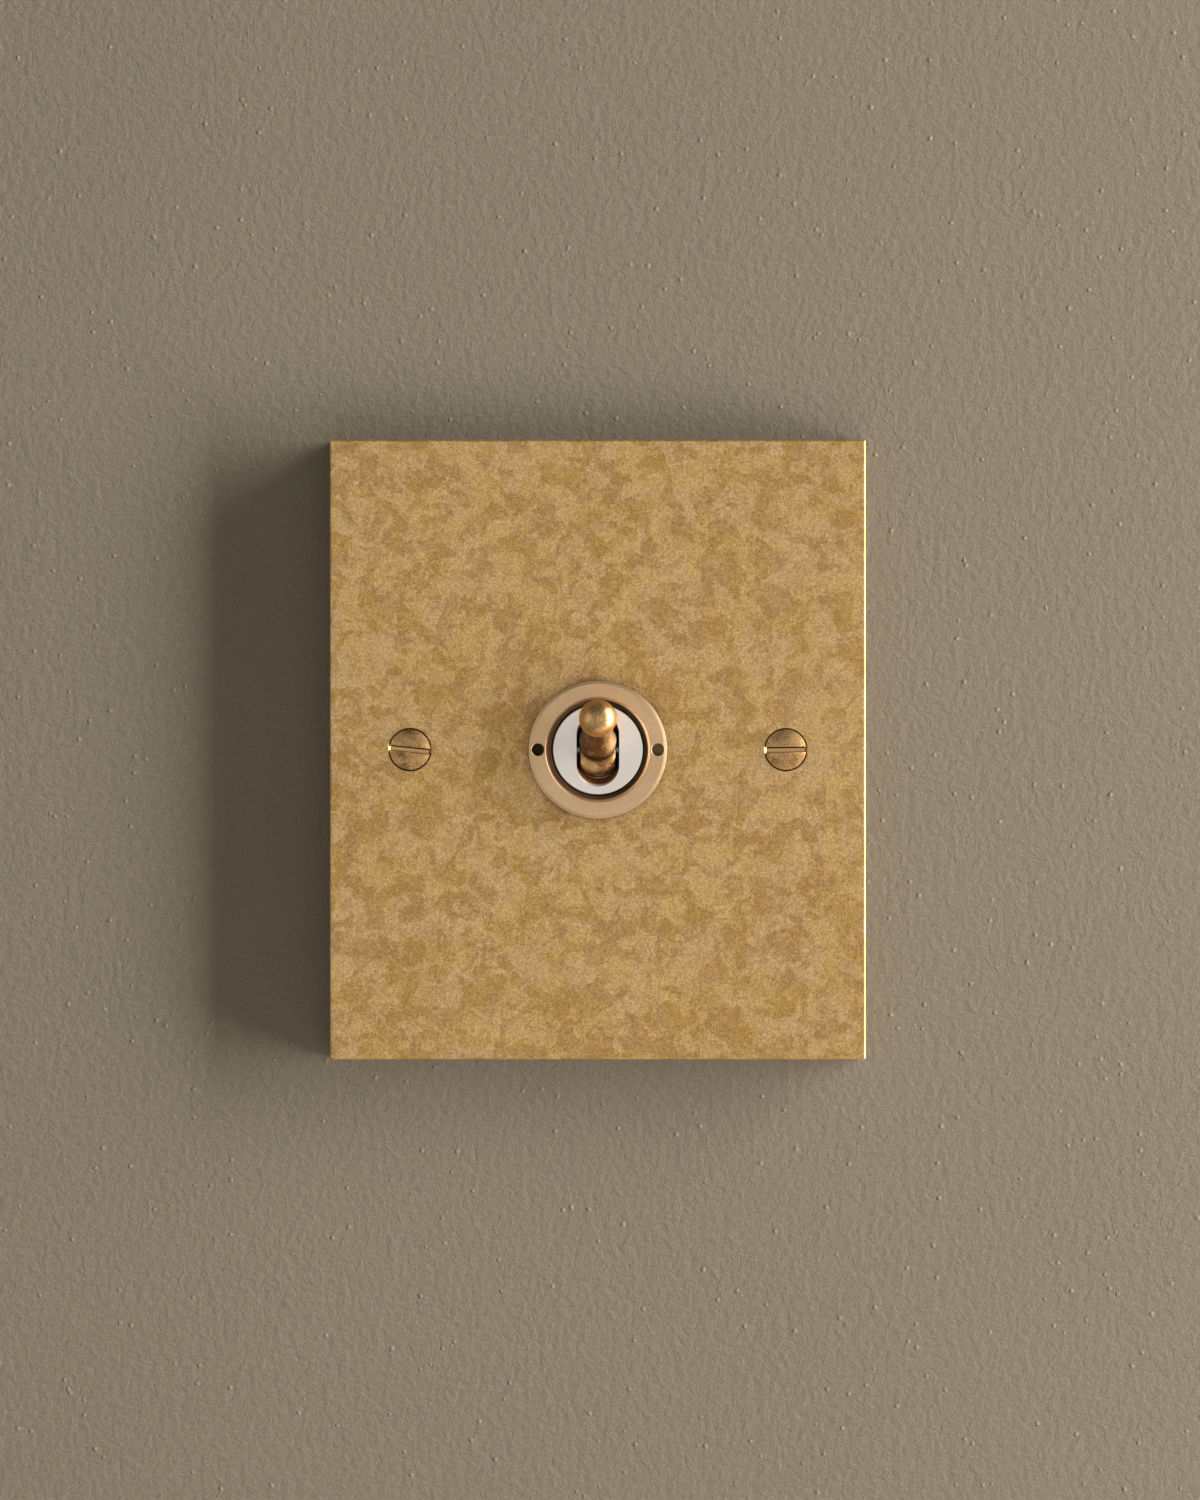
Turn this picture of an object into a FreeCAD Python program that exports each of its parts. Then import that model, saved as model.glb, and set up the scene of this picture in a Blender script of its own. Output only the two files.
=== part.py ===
import FreeCAD, Part
import math
import os

from FreeCAD import Vector

# A brass dolly switch: a thick rectangular face plate held by two slotted screws, a bezel ring
# round a slotted barrel, a turned dolly on a cross pin, and the switch mechanism behind it.
# Millimetres. X is to the right, Z is up and Y goes into the wall. The origin is the middle of
# the plate's back face, on the axis of the barrel, so the plate stands from y = 0 to -thickness.

# Face plate
plate_width = 86.0
plate_height = 99.5
plate_thickness = 4.0
plate_edge_round = 0.4
fixing_centres = 60.3

# Fixing screws
screw_length = 19.8
screw_shank_radius = 1.75
screw_neck_radius = 1.55
screw_head_radius = 3.25
screw_land = 0.15
screw_dome = 0.75
screw_slot_width = 0.9
screw_slot_depth = 1.1
screw_point = 0.7
left_slot_turn = 6.0
right_slot_turn = -1.0
screw_hole_clearance = 0.2
countersink_margin = 0.2

# Bezel ring
ring_radius = 11.1
ring_height = 1.5
ring_outer_bevel = 0.55
ring_outer_bevel_depth = 0.25
ring_inner_bevel_radius = 8.45
ring_inner_bevel_depth = 0.75
ring_mouth_clearance = 0.175
ring_mouth_depth = 1.1
spanner_hole_offset = 9.6
spanner_hole_radius = 1.0
spanner_hole_depth = 0.75
drill_point_half_angle = 59.0

# Barrel
barrel_radius = 7.475
barrel_stand = 0.1
barrel_front_radius = 7.15
barrel_front_depth = 1.2
barrel_rear_bore_radius = 5.7
barrel_plate_clearance = 0.15
thread_clearance = 0.05
slot_width = 6.85
slot_half_length = 5.9
slot_end_slope = 42.0
slot_end_depth = 1.3
ball_seat_clearance = 0.15
flange_radius = 9.5
flange_thickness = 1.2
spigot_radius = 8.0

# Lock washer and back nut
washer_radius = 10.4
washer_thickness = 0.8
washer_teeth = 16
washer_notch_depth = 1.1
nut_across_flats = 19.0
nut_thickness = 2.6
nut_chamfer = 0.5
nut_chamfer_width = 1.0
nut_gap = 0.6

# Dolly, along its own axis from the pivot
pivot_depth = 4.3
dolly_tilt = 17.0
hub_radius = 5.2
hub_width = 5.74
hub_edge_round = 0.5
skirt_radius = 2.65
bell_radius = 2.95
bell_start = 5.35
bell_land = 0.25
bell_waist_radius = 2.1
bell_waist = 8.0
neck_radius = 1.75
neck_start = 12.2
tip_radius = 2.95
tip_centre = 16.8
tail_radius = 2.5
tail_end = 10.5
tail_chamfer = 0.3
spring_bore_radius = 1.7
spring_bore_bottom = 3.5

# Pivot pin
pin_radius = 1.0
pin_length = 13.6
pin_fit = 0.01
pin_running_fit = 0.05
pin_end_chamfer = 0.2

# Plunger and its spring
plunger_running_fit = 0.05
plunger_inner_end = 6.6
plunger_nose_radius = 1.6
plunger_reach = 14.15
spring_wire_radius = 0.175
spring_radius = 1.32
spring_turns = 4.0

# Steel frame and insulator
frame_thickness = 1.0
leg_half_width = 6.0
leg_depth = 11.0
leg_clearance = 0.05
window_half_width = 3.0
window_depth = 2.4
window_from_leg_end = 1.6
frame_corner_radius = 2.0
frame_fold_radius = 0.6
insulator_thickness = 0.5
insulator_slot_half_length = 5.8
insulator_slot_half_width = 3.1

# Housing
housing_half_width = 9.5
housing_half_height = 18.0
housing_depth = 23.3
housing_front_depth = 10.8
housing_corner_radius = 1.2
housing_rim_chamfer = 0.6
side_wall = 2.0
end_wall = 1.8
chamber_half_width = 3.7
chamber_depth = 8.5
terminal_clearance = 0.1
wire_entry_radius = 2.25
wire_entry_flare = 0.6
rear_hole_radius = 3.0
nib_depth = 2.0
nib_half_width = 2.6
nib_height = 0.9

# Inner moulding
moulding_clearance = 0.08
rail_height = 3.0
rocker_side_clearance = 0.2
rocker_end_clearance = 0.5
moulding_block_length = 4.8

# Rocker
rocker_width = 5.0
rocker_thickness = 1.0
rocker_half_length = 9.0
rocker_trough = 11.0
rocker_tilt = 6.0
fulcrum_behind_front = 1.25
nose_gap = 0.2
ridge_radius = 1.0
ridge_length = 4.6
cradle_clearance = 0.05

# Contacts
contact_offset = 7.8
rocker_contact_radius = 1.3
rocker_contact_land = 0.35
rocker_contact_height = 0.92
fixed_contact_radius = 1.4
contact_gap = 0.05

# Terminals
terminal_half_width = 3.5
post_half_width = 1.8
cradle_lip = 0.25
common_block_start = 3.8
terminal_rear = 10.8
way_block_inset = 0.2
way_block_length = 6.5
tongue_margin = 0.2
tongue_thickness = 1.2
wire_hole_radius = 1.7
wire_hole_depth = 6.8
wire_hole_end_wall = 0.6
common_screw_offset = -1.0
way_screw_inset = 2.1

# Terminal screws
clamp_screw_radius = 1.5
clamp_screw_tip_gap = 0.2
clamp_screw_run = 2.2
clamp_head_radius = 2.6
clamp_head_height = 1.4
clamp_slot_width = 0.7
clamp_slot_depth = 0.8
clamp_screw_fit = 0.03

# Earth terminal
earth_x = -19.0
earth_z = -22.0
earth_half_width = 3.5
earth_half_height = 4.5
earth_height = 8.5
earth_hole_radius = 1.6
earth_hole_height = 4.0
earth_spigot_radius = 1.5
earth_spigot_length = 2.0
earth_spigot_fit = 0.01
earth_screw_offset = 1.0
seat_clearance = 0.02

# Tolerance for picking edges
pick = 1e-4

# Places along Y that follow from the sizes
plate_face = -plate_thickness
ring_face = plate_face - ring_height
barrel_face = ring_face - barrel_stand
pivot_y = barrel_face + pivot_depth
nut_rear = washer_thickness + nut_thickness
flange_front = nut_rear + nut_gap
flange_rear = flange_front + flange_thickness
frame_rear = flange_rear + frame_thickness
housing_front = frame_rear + insulator_thickness
housing_rear = housing_front + housing_depth
chamber_floor = housing_front + chamber_depth
wire_y = chamber_floor + wire_hole_depth
terminal_back = chamber_floor + terminal_rear
nose_mid_y = pivot_y + plunger_reach
rocker_front = nose_mid_y + nose_gap
fulcrum_y = rocker_front + fulcrum_behind_front

# Places off the axis that follow from the sizes
rear_half_width = terminal_half_width + terminal_clearance + side_wall
chamber_half_height = housing_half_height - end_wall
moulding_block_start = chamber_half_height - moulding_block_length
way_block_end = chamber_half_height - way_block_inset
way_block_start = way_block_end - way_block_length
way_screw_offset = way_block_start + way_screw_inset
tongue_start = contact_offset - fixed_contact_radius - tongue_margin

PIVOT = Vector(0, pivot_y, 0)
FULCRUM = Vector(0, fulcrum_y, 0)
ALONG_X = Vector(1, 0, 0)
ALONG_Y = Vector(0, 1, 0)
ALONG_Z = Vector(0, 0, 1)


def box(x0, x1, y0, y1, z0, z1):
    """Block between two corners."""
    return Part.makeBox(x1 - x0, y1 - y0, z1 - z0, Vector(x0, y0, z0))


def rod(radius, start, end):
    """Cylinder from one point to another."""
    axis = end - start
    return Part.makeCylinder(radius, axis.Length, start, axis)


def turned(outline, x=0.0, z=0.0):
    """Turn a closed outline about an axis along Y through x, z.

    A station is (radius, y), or (mid radius, mid y, radius, y) for an arc to its last point.
    """
    edges = []
    last = Vector(outline[0][0], outline[0][1], 0)
    for station in outline[1:] + outline[:1]:
        end = Vector(station[-2], station[-1], 0)
        if len(station) == 4:
            edges.append(Part.Arc(last, Vector(station[0], station[1], 0), end).toShape())
        elif (end - last).Length > 1e-6:
            edges.append(Part.makeLine(last, end))
        last = end
    face = Part.Face(Part.Wire(edges))
    solid = face.revolve(Vector(0, 0, 0), ALONG_Y, 360)
    solid.translate(Vector(x, 0, z))
    return solid


def obround(half_length, half_width, y):
    """Closed slot outline with full-radius ends, its length along Z, at depth y."""
    straight = half_length - half_width
    right_low = Vector(half_width, y, -straight)
    right_high = Vector(half_width, y, straight)
    left_high = Vector(-half_width, y, straight)
    left_low = Vector(-half_width, y, -straight)
    return Part.Wire([
        Part.makeLine(right_low, right_high),
        Part.Arc(right_high, Vector(0, y, half_length), left_high).toShape(),
        Part.makeLine(left_high, left_low),
        Part.Arc(left_low, Vector(0, y, -half_length), right_low).toShape(),
    ])


def edges_along(shape, axis):
    """The straight edges of a shape that run along an axis."""
    return [
        edge for edge in shape.Edges
        if isinstance(edge.Curve, Part.Line)
        and abs(abs(edge.tangentAt(edge.FirstParameter).dot(axis)) - 1) < pick
    ]


def save(name, shape):
    """Write one node."""
    shape.exportStep("parts/" + name + ".step")


def make_face_plate():
    """Thick plate with softened front edges, barrel hole, countersinks and the earth post's seat."""
    plate = box(
        -plate_width / 2, plate_width / 2, plate_face, 0.0, -plate_height / 2, plate_height / 2
    )
    front = [edge for edge in plate.Edges if abs(edge.BoundBox.YMax - plate_face) < pick]
    plate = plate.makeFillet(plate_edge_round, front + edges_along(plate, ALONG_Y))
    plate = plate.cut(turned([
        (0.0, plate_face),
        (barrel_radius + barrel_plate_clearance, plate_face),
        (barrel_radius + barrel_plate_clearance, 0.0),
        (0.0, 0.0),
    ]))
    hole = screw_shank_radius + screw_hole_clearance
    mouth = screw_head_radius + countersink_margin
    for side in (-1, 1):
        plate = plate.cut(turned([
            (0.0, plate_face),
            (mouth, plate_face),
            (hole, plate_face + mouth - hole),
            (hole, 0.0),
            (0.0, 0.0),
        ], side * fixing_centres / 2))
    seat_radius = earth_spigot_radius + earth_spigot_fit
    seat = rod(seat_radius, Vector(earth_x, -earth_spigot_length, earth_z), Vector(earth_x, 0, earth_z))
    return plate.cut(seat)


def make_fixing_screw(side, turn):
    """Raised countersunk screw with a full-width slot, its cone just clear of the plate's."""
    rim = plate_face + countersink_margin - seat_clearance
    dome_foot = rim - screw_land
    apex = dome_foot - screw_dome
    sphere_radius = (screw_head_radius ** 2 + screw_dome ** 2) / (2 * screw_dome)
    half_way = math.asin(screw_head_radius / sphere_radius) / 2
    dome_mid = (sphere_radius * math.sin(half_way), apex + sphere_radius * (1 - math.cos(half_way)))
    tip = rim + screw_length
    screw = turned([
        (0.0, apex),
        (*dome_mid, screw_head_radius, dome_foot),
        (screw_head_radius, rim),
        (screw_neck_radius, rim + screw_head_radius - screw_neck_radius),
        (screw_neck_radius, 0.0),
        (screw_shank_radius, 0.0),
        (screw_shank_radius, tip - screw_point),
        (screw_shank_radius - screw_point, tip),
        (0.0, tip),
    ], side * fixing_centres / 2)
    slot = box(
        -screw_head_radius, screw_head_radius,
        apex, apex + screw_slot_depth,
        -screw_slot_width / 2, screw_slot_width / 2,
    )
    slot.rotate(Vector(0, 0, 0), ALONG_Y, turn)
    slot.translate(Vector(side * fixing_centres / 2, 0, 0))
    return screw.cut(slot)


def make_fixing_screws():
    """The two fixing screws, each slot turned as it was left."""
    left = make_fixing_screw(-1, left_slot_turn)
    right = make_fixing_screw(1, right_slot_turn)
    return Part.makeCompound([left, right])


def make_bezel_ring():
    """Ring nut on the barrel's front thread, bevelled inside and out, with two spanner holes."""
    bore = barrel_radius + thread_clearance
    mouth = barrel_radius + ring_mouth_clearance
    ring = turned([
        (bore, plate_face),
        (ring_radius, plate_face),
        (ring_radius, ring_face + ring_outer_bevel_depth),
        (ring_radius - ring_outer_bevel, ring_face),
        (ring_inner_bevel_radius, ring_face),
        (mouth, ring_face + ring_inner_bevel_depth),
        (mouth, ring_face + ring_mouth_depth),
        (bore, ring_face + ring_mouth_depth),
    ])
    point = spanner_hole_radius / math.tan(math.radians(drill_point_half_angle))
    for side in (-1, 1):
        ring = ring.cut(turned([
            (0.0, ring_face),
            (spanner_hole_radius, ring_face),
            (spanner_hole_radius, ring_face + spanner_hole_depth),
            (0.0, ring_face + spanner_hole_depth + point),
        ], side * spanner_hole_offset))
    return ring


def make_barrel():
    """Slotted barrel with a ball seat for the dolly's hub and a flange staked to the frame."""
    barrel = turned([
        (0.0, barrel_face),
        (barrel_front_radius, barrel_face),
        (barrel_front_radius, barrel_face + barrel_front_depth),
        (barrel_radius, barrel_face + barrel_front_depth + barrel_radius - barrel_front_radius),
        (barrel_radius, flange_front),
        (flange_radius, flange_front),
        (flange_radius, flange_rear),
        (spigot_radius, flange_rear),
        (spigot_radius, frame_rear),
        (0.0, frame_rear),
    ])
    half_width = slot_width / 2
    inner_half_length = slot_half_length - slot_end_depth / math.tan(math.radians(slot_end_slope))
    mouth = Part.makeLoft([
        obround(slot_half_length, half_width, barrel_face),
        obround(inner_half_length, half_width, barrel_face + slot_end_depth),
    ], True, True)
    seat_radius = hub_radius + ball_seat_clearance
    seat = Part.makeSphere(seat_radius, PIVOT)
    seat = seat.common(box(
        -half_width, half_width,
        pivot_y - seat_radius, pivot_y + seat_radius,
        -seat_radius, seat_radius,
    ))
    bore = rod(barrel_rear_bore_radius, PIVOT, Vector(0, frame_rear, 0))
    pin_hole = rod(
        pin_radius + pin_fit, PIVOT - ALONG_X * barrel_radius, PIVOT + ALONG_X * barrel_radius
    )
    return barrel.cut([mouth, seat, bore, pin_hole])


def make_lock_washer():
    """Washer with a ring of outer teeth that bites the plate's back."""
    washer = turned([
        (barrel_radius + barrel_plate_clearance, 0.0),
        (washer_radius, 0.0),
        (washer_radius, washer_thickness),
        (barrel_radius + barrel_plate_clearance, washer_thickness),
    ])
    step = 360.0 / washer_teeth
    notch_width = math.pi * washer_radius / washer_teeth
    notch = box(
        -notch_width / 2, notch_width / 2,
        0.0, washer_thickness,
        washer_radius - washer_notch_depth, washer_radius + washer_notch_depth,
    )
    notches = []
    for count in range(washer_teeth):
        one = notch.copy()
        one.rotate(Vector(0, 0, 0), ALONG_Y, count * step)
        notches.append(one)
    return washer.cut(notches)


def make_back_nut():
    """Hexagonal nut behind the plate, its corners chamfered on both faces."""
    corner = nut_across_flats / 2 / math.cos(math.radians(30))
    points = []
    for count in range(6):
        angle = math.radians(60 * count)
        points.append(Vector(corner * math.cos(angle), washer_thickness, corner * math.sin(angle)))
    hexagon = Part.Face(Part.makePolygon(points + points[:1])).extrude(ALONG_Y * nut_thickness)
    flat = nut_across_flats / 2
    blank = turned([
        (barrel_radius + thread_clearance, washer_thickness),
        (flat, washer_thickness),
        (flat + nut_chamfer_width, washer_thickness + nut_chamfer),
        (corner, washer_thickness + nut_thickness / 2),
        (flat + nut_chamfer_width, nut_rear - nut_chamfer),
        (flat, nut_rear),
        (barrel_radius + thread_clearance, nut_rear),
    ])
    return hexagon.common(blank)


def make_pivot_pin():
    """Cross pin through the barrel and the dolly's hub."""
    pin = rod(pin_radius, PIVOT - ALONG_X * (pin_length / 2), PIVOT + ALONG_X * (pin_length / 2))
    ends = [edge for edge in pin.Edges if isinstance(edge.Curve, Part.Circle)]
    return pin.makeChamfer(pin_end_chamfer, ends)


def set_at_rest(shape):
    """Tilt a piece of the dolly from straight ahead to its raised rest place."""
    shape.rotate(PIVOT, ALONG_X, -dolly_tilt)
    return shape


def make_dolly():
    """Turned lever with ball tip, bell skirt, flat-sided ball hub and bored tail."""
    tip_joint = tip_centre - math.sqrt(tip_radius ** 2 - neck_radius ** 2)
    lever = turned([
        (0.0, pivot_y + spring_bore_bottom),
        (spring_bore_radius, pivot_y + spring_bore_bottom),
        (spring_bore_radius, pivot_y + tail_end),
        (tail_radius - tail_chamfer, pivot_y + tail_end),
        (tail_radius, pivot_y + tail_end - tail_chamfer),
        (tail_radius, pivot_y),
        (skirt_radius, pivot_y),
        (skirt_radius, pivot_y - bell_start + bell_land),
        (bell_radius, pivot_y - bell_start + bell_land),
        (bell_radius, pivot_y - bell_start),
        (bell_waist_radius, pivot_y - bell_waist, neck_radius, pivot_y - neck_start),
        (neck_radius, pivot_y - tip_joint),
        (tip_radius, pivot_y - tip_centre, 0.0, pivot_y - tip_centre - tip_radius),
    ])
    hub = Part.makeSphere(hub_radius, PIVOT).common(box(
        -hub_width / 2, hub_width / 2,
        pivot_y - hub_radius, pivot_y + hub_radius,
        -hub_radius, hub_radius,
    ))
    flat_edges = [
        edge for edge in hub.Edges
        if not edge.Degenerated and isinstance(edge.Curve, Part.Circle)
        and abs(abs(edge.Curve.Axis.x) - 1) < pick
    ]
    hub = hub.makeFillet(hub_edge_round, flat_edges)
    bore = rod(spring_bore_radius, PIVOT + ALONG_Y * spring_bore_bottom, PIVOT + ALONG_Y * tail_end)
    running = pin_radius + pin_running_fit
    pin_hole = rod(running, PIVOT - ALONG_X * hub_width, PIVOT + ALONG_X * hub_width)
    return set_at_rest(lever.fuse(hub).cut([bore, pin_hole]).removeSplitter())


def make_plunger_spring():
    """Coil spring between the bottom of the tail's bore and the plunger."""
    length = plunger_inner_end - spring_bore_bottom - 2 * spring_wire_radius
    helix = Part.makeHelix(length / spring_turns, length, spring_radius)
    helix_wire = Part.Wire(helix.Edges)
    section = Part.Wire(Part.makeCircle(spring_wire_radius, Vector(spring_radius, 0, 0), ALONG_Y))
    coil = helix_wire.makePipeShell([section], True, True)
    coil.rotate(Vector(0, 0, 0), ALONG_X, -90)
    coil.translate(Vector(0, pivot_y + spring_bore_bottom + spring_wire_radius, 0))
    return set_at_rest(coil)


def make_plunger():
    """Round-nosed plunger that slides in the dolly's tail."""
    radius = spring_bore_radius - plunger_running_fit
    nose_centre = pivot_y + plunger_reach - plunger_nose_radius
    slant = plunger_nose_radius * math.sqrt(0.5)
    plunger = turned([
        (0.0, pivot_y + plunger_inner_end),
        (radius, pivot_y + plunger_inner_end),
        (radius, nose_centre - (radius - plunger_nose_radius)),
        (plunger_nose_radius, nose_centre),
        (slant, nose_centre + slant, 0.0, nose_centre + plunger_nose_radius),
    ])
    return set_at_rest(plunger)


def make_frame_plate():
    """Steel plate behind the barrel with two legs folded back along the housing."""
    inside = housing_half_width + leg_clearance
    outside = inside + frame_thickness
    plate = box(-outside, outside, flange_rear, frame_rear, -housing_half_height, housing_half_height)
    plate = plate.makeFillet(frame_corner_radius, edges_along(plate, ALONG_Y))
    plate = plate.cut(rod(spigot_radius + pin_fit, Vector(0, flange_rear, 0), Vector(0, frame_rear, 0)))
    leg_end = frame_rear + leg_depth
    window_end = leg_end - window_from_leg_end
    frame = plate
    for side in (-1, 1):
        inner, outer = sorted((side * inside, side * outside))
        leg = box(inner, outer, flange_rear, leg_end, -leg_half_width, leg_half_width)
        window = box(
            inner, outer, window_end - window_depth, window_end, -window_half_width, window_half_width
        )
        frame = frame.fuse(leg.cut(window))
    frame = frame.removeSplitter()
    folds = [
        edge for edge in edges_along(frame, ALONG_Z)
        if abs(edge.BoundBox.YMin - flange_rear) < pick
        and abs(abs(edge.BoundBox.XMin) - outside) < pick
    ]
    return frame.makeFillet(frame_fold_radius, folds)


def make_insulator_sheet():
    """Fibre sheet between the frame and the housing, slotted for the dolly's tail."""
    sheet = box(
        -housing_half_width, housing_half_width,
        frame_rear, housing_front,
        -housing_half_height, housing_half_height,
    )
    sheet = sheet.makeFillet(housing_corner_radius, edges_along(sheet, ALONG_Y))
    slot = Part.Face(obround(insulator_slot_half_length, insulator_slot_half_width, frame_rear))
    return sheet.cut(slot.extrude(ALONG_Y * insulator_thickness))


def way_terminal_pocket(side):
    """Space for one way's terminal, opened by the clearance."""
    near = way_block_start - terminal_clearance
    far = way_block_end + terminal_clearance
    low, high = sorted((side * near, side * far))
    wide = terminal_half_width + terminal_clearance
    block = box(-wide, wide, chamber_floor, terminal_back + terminal_clearance, low, high)
    low, high = sorted((side * (tongue_start - terminal_clearance), side * way_block_start))
    tongue_back = chamber_floor + tongue_thickness + terminal_clearance
    return block.fuse(box(-wide, wide, chamber_floor, tongue_back, low, high))


def flared_hole(radius, mouth, inner):
    """Wire entry from its mouth to an inner point, with a flare at the mouth."""
    axis = inner - mouth
    hole = Part.makeCylinder(radius, axis.Length, mouth, axis)
    flare = Part.makeCone(radius + wire_entry_flare, radius, wire_entry_flare, mouth, axis)
    return hole.fuse(flare)


def housing_body(half_width, rear):
    """Moulded block from the insulator back to a rear face, its corners round, its rim chamfered."""
    body = box(-half_width, half_width, housing_front, rear, -housing_half_height, housing_half_height)
    body = body.makeFillet(housing_corner_radius, edges_along(body, ALONG_Y))
    rim = [edge for edge in body.Edges if abs(edge.BoundBox.YMin - rear) < pick]
    return body.makeChamfer(housing_rim_chamfer, rim)


def make_housing():
    """Stepped moulding with the rocker's chamber, terminal pockets, wire entries and snap nibs.

    The side is open beside the common terminal, and the other two wires come in by the ends.
    """
    housing = housing_body(housing_half_width, housing_front + housing_front_depth)
    housing = housing.fuse(housing_body(rear_half_width, housing_rear))
    wide = terminal_half_width + terminal_clearance
    common = box(-wide, wide, chamber_floor, terminal_back + terminal_clearance, -wide, wide)
    cuts = [
        box(
            -chamber_half_width, chamber_half_width,
            housing_front, chamber_floor,
            -chamber_half_height, chamber_half_height,
        ),
        common,
        way_terminal_pocket(-1),
        way_terminal_pocket(1),
        box(
            terminal_half_width, rear_half_width,
            housing_front + housing_front_depth, housing_rear,
            -wide, wide,
        ),
    ]
    for side in (-1, 1):
        mouth = Vector(0, wire_y, side * housing_half_height)
        cuts.append(flared_hole(wire_entry_radius, mouth, Vector(0, wire_y, side * way_block_end)))
    for x, z in clamp_screw_places():
        cuts.append(rod(rear_hole_radius, Vector(x, terminal_back, z), Vector(x, housing_rear, z)))
    housing = housing.cut(cuts)
    nib_rear = frame_rear + leg_depth - window_from_leg_end - leg_clearance
    nib_front = nib_rear - nib_depth
    for side in (-1, 1):
        outline = Part.makePolygon([
            Vector(side * housing_half_width, nib_rear, -nib_half_width),
            Vector(side * (housing_half_width + nib_height), nib_front, -nib_half_width),
            Vector(side * housing_half_width, nib_front, -nib_half_width),
            Vector(side * housing_half_width, nib_rear, -nib_half_width),
        ])
        housing = housing.fuse(Part.Face(outline).extrude(ALONG_Z * (2 * nib_half_width)))
    return housing.removeSplitter()


def make_inner_moulding():
    """Moulded frame in the chamber that holds the terminals down and guides the rocker."""
    wide = chamber_half_width - moulding_clearance
    tall = chamber_half_height - moulding_clearance
    rear = chamber_floor - moulding_clearance
    moulding = box(-wide, wide, housing_front, rear, -tall, tall)
    open_wide = rocker_width / 2 + rocker_side_clearance
    gap = box(-wide, wide, housing_front, rear - rail_height, -moulding_block_start, moulding_block_start)
    reach = rocker_half_length + rocker_end_clearance
    window = box(-open_wide, open_wide, rear - rail_height, rear, -reach, reach)
    return moulding.cut([gap, window])


def tilt_rocker(shape):
    """Tilt a piece of the rocker to its rest place, lower end back."""
    shape.rotate(FULCRUM, ALONG_X, rocker_tilt)
    return shape


def make_rocker():
    """Folded strip with two wings that form a shallow trough, and a ridge in the cradle."""
    rise = rocker_half_length * math.tan(math.radians(rocker_trough))
    depth = rocker_thickness / math.cos(math.radians(rocker_trough))
    half = rocker_width / 2
    outline = Part.makePolygon([
        Vector(-half, rocker_front, 0),
        Vector(-half, rocker_front - rise, rocker_half_length),
        Vector(-half, rocker_front - rise + depth, rocker_half_length),
        Vector(-half, rocker_front + depth, 0),
        Vector(-half, rocker_front - rise + depth, -rocker_half_length),
        Vector(-half, rocker_front - rise, -rocker_half_length),
        Vector(-half, rocker_front, 0),
    ])
    strip = Part.Face(outline).extrude(ALONG_X * rocker_width)
    half_ridge = ALONG_X * (ridge_length / 2)
    ridge = rod(ridge_radius, FULCRUM - half_ridge, FULCRUM + half_ridge)
    front = box(
        -half, half, fulcrum_y - ridge_radius, rocker_front + rocker_thickness / 2,
        -ridge_radius, ridge_radius,
    )
    return tilt_rocker(strip.fuse(ridge.cut(front)).removeSplitter())


def make_rocker_contacts():
    """Domed silver contacts on the backs of the rocker's wings."""
    slope = math.radians(rocker_trough)
    back = rocker_front - contact_offset * math.tan(slope) + rocker_thickness / math.cos(slope)
    dome = rocker_contact_height - rocker_contact_land
    sphere_radius = (rocker_contact_radius ** 2 + dome ** 2) / (2 * dome)
    half_way = math.asin(rocker_contact_radius / sphere_radius) / 2
    mid_y = rocker_contact_height - sphere_radius * (1 - math.cos(half_way))
    contacts = []
    for side in (-1, 1):
        contact = turned([
            (0.0, 0.0),
            (rocker_contact_radius, 0.0),
            (rocker_contact_radius, rocker_contact_land),
            (sphere_radius * math.sin(half_way), mid_y, 0.0, rocker_contact_height),
        ])
        contact.rotate(Vector(0, 0, 0), ALONG_X, side * rocker_trough)
        contact.translate(Vector(0, back, side * contact_offset))
        contacts.append(tilt_rocker(contact))
    return Part.makeCompound(contacts)


def make_fixed_contacts():
    """Silver faces on the tongues of the two way terminals."""
    slope = math.radians(rocker_trough)
    tilt = math.radians(rocker_tilt)
    reach_y = rocker_front - contact_offset * math.tan(slope) + rocker_thickness / math.cos(slope)
    reach_y += rocker_contact_height * math.cos(slope)
    reach_z = contact_offset + rocker_contact_height * math.sin(slope)
    arm = fulcrum_y - reach_y
    face = fulcrum_y - arm * math.cos(tilt) + reach_z * math.sin(tilt) + contact_gap
    offset = reach_z * math.cos(tilt) + arm * math.sin(tilt)
    contacts = []
    for side in (-1, 1):
        contacts.append(rod(
            fixed_contact_radius, Vector(0, face, side * offset), Vector(0, chamber_floor, side * offset)
        ))
    return Part.makeCompound(contacts)


def clamp_screw_places():
    """Where the three terminal screws stand, as x and z."""
    return [(common_screw_offset, 0.0), (0.0, -way_screw_offset), (0.0, way_screw_offset)]


def make_common_terminal():
    """Brass block with a post whose cradle carries the rocker."""
    block_front = chamber_floor + common_block_start
    wide = terminal_half_width
    block = box(-wide, wide, block_front, terminal_back, -wide, wide)
    post_front = fulcrum_y + cradle_lip
    half = rocker_width / 2
    post = box(-half, half, post_front, block_front, -post_half_width, post_half_width)
    cradle = rod(ridge_radius + cradle_clearance, FULCRUM - ALONG_X * wide, FULCRUM + ALONG_X * wide)
    inner_x = -wide + wire_hole_end_wall
    hole = rod(wire_hole_radius, Vector(inner_x, wire_y, 0), Vector(wide, wire_y, 0))
    screw_hole = rod(
        clamp_screw_radius + clamp_screw_fit,
        Vector(common_screw_offset, wire_y, 0),
        Vector(common_screw_offset, terminal_back, 0),
    )
    return post.cut(cradle).fuse(block).removeSplitter().cut([hole, screw_hole])


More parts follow.
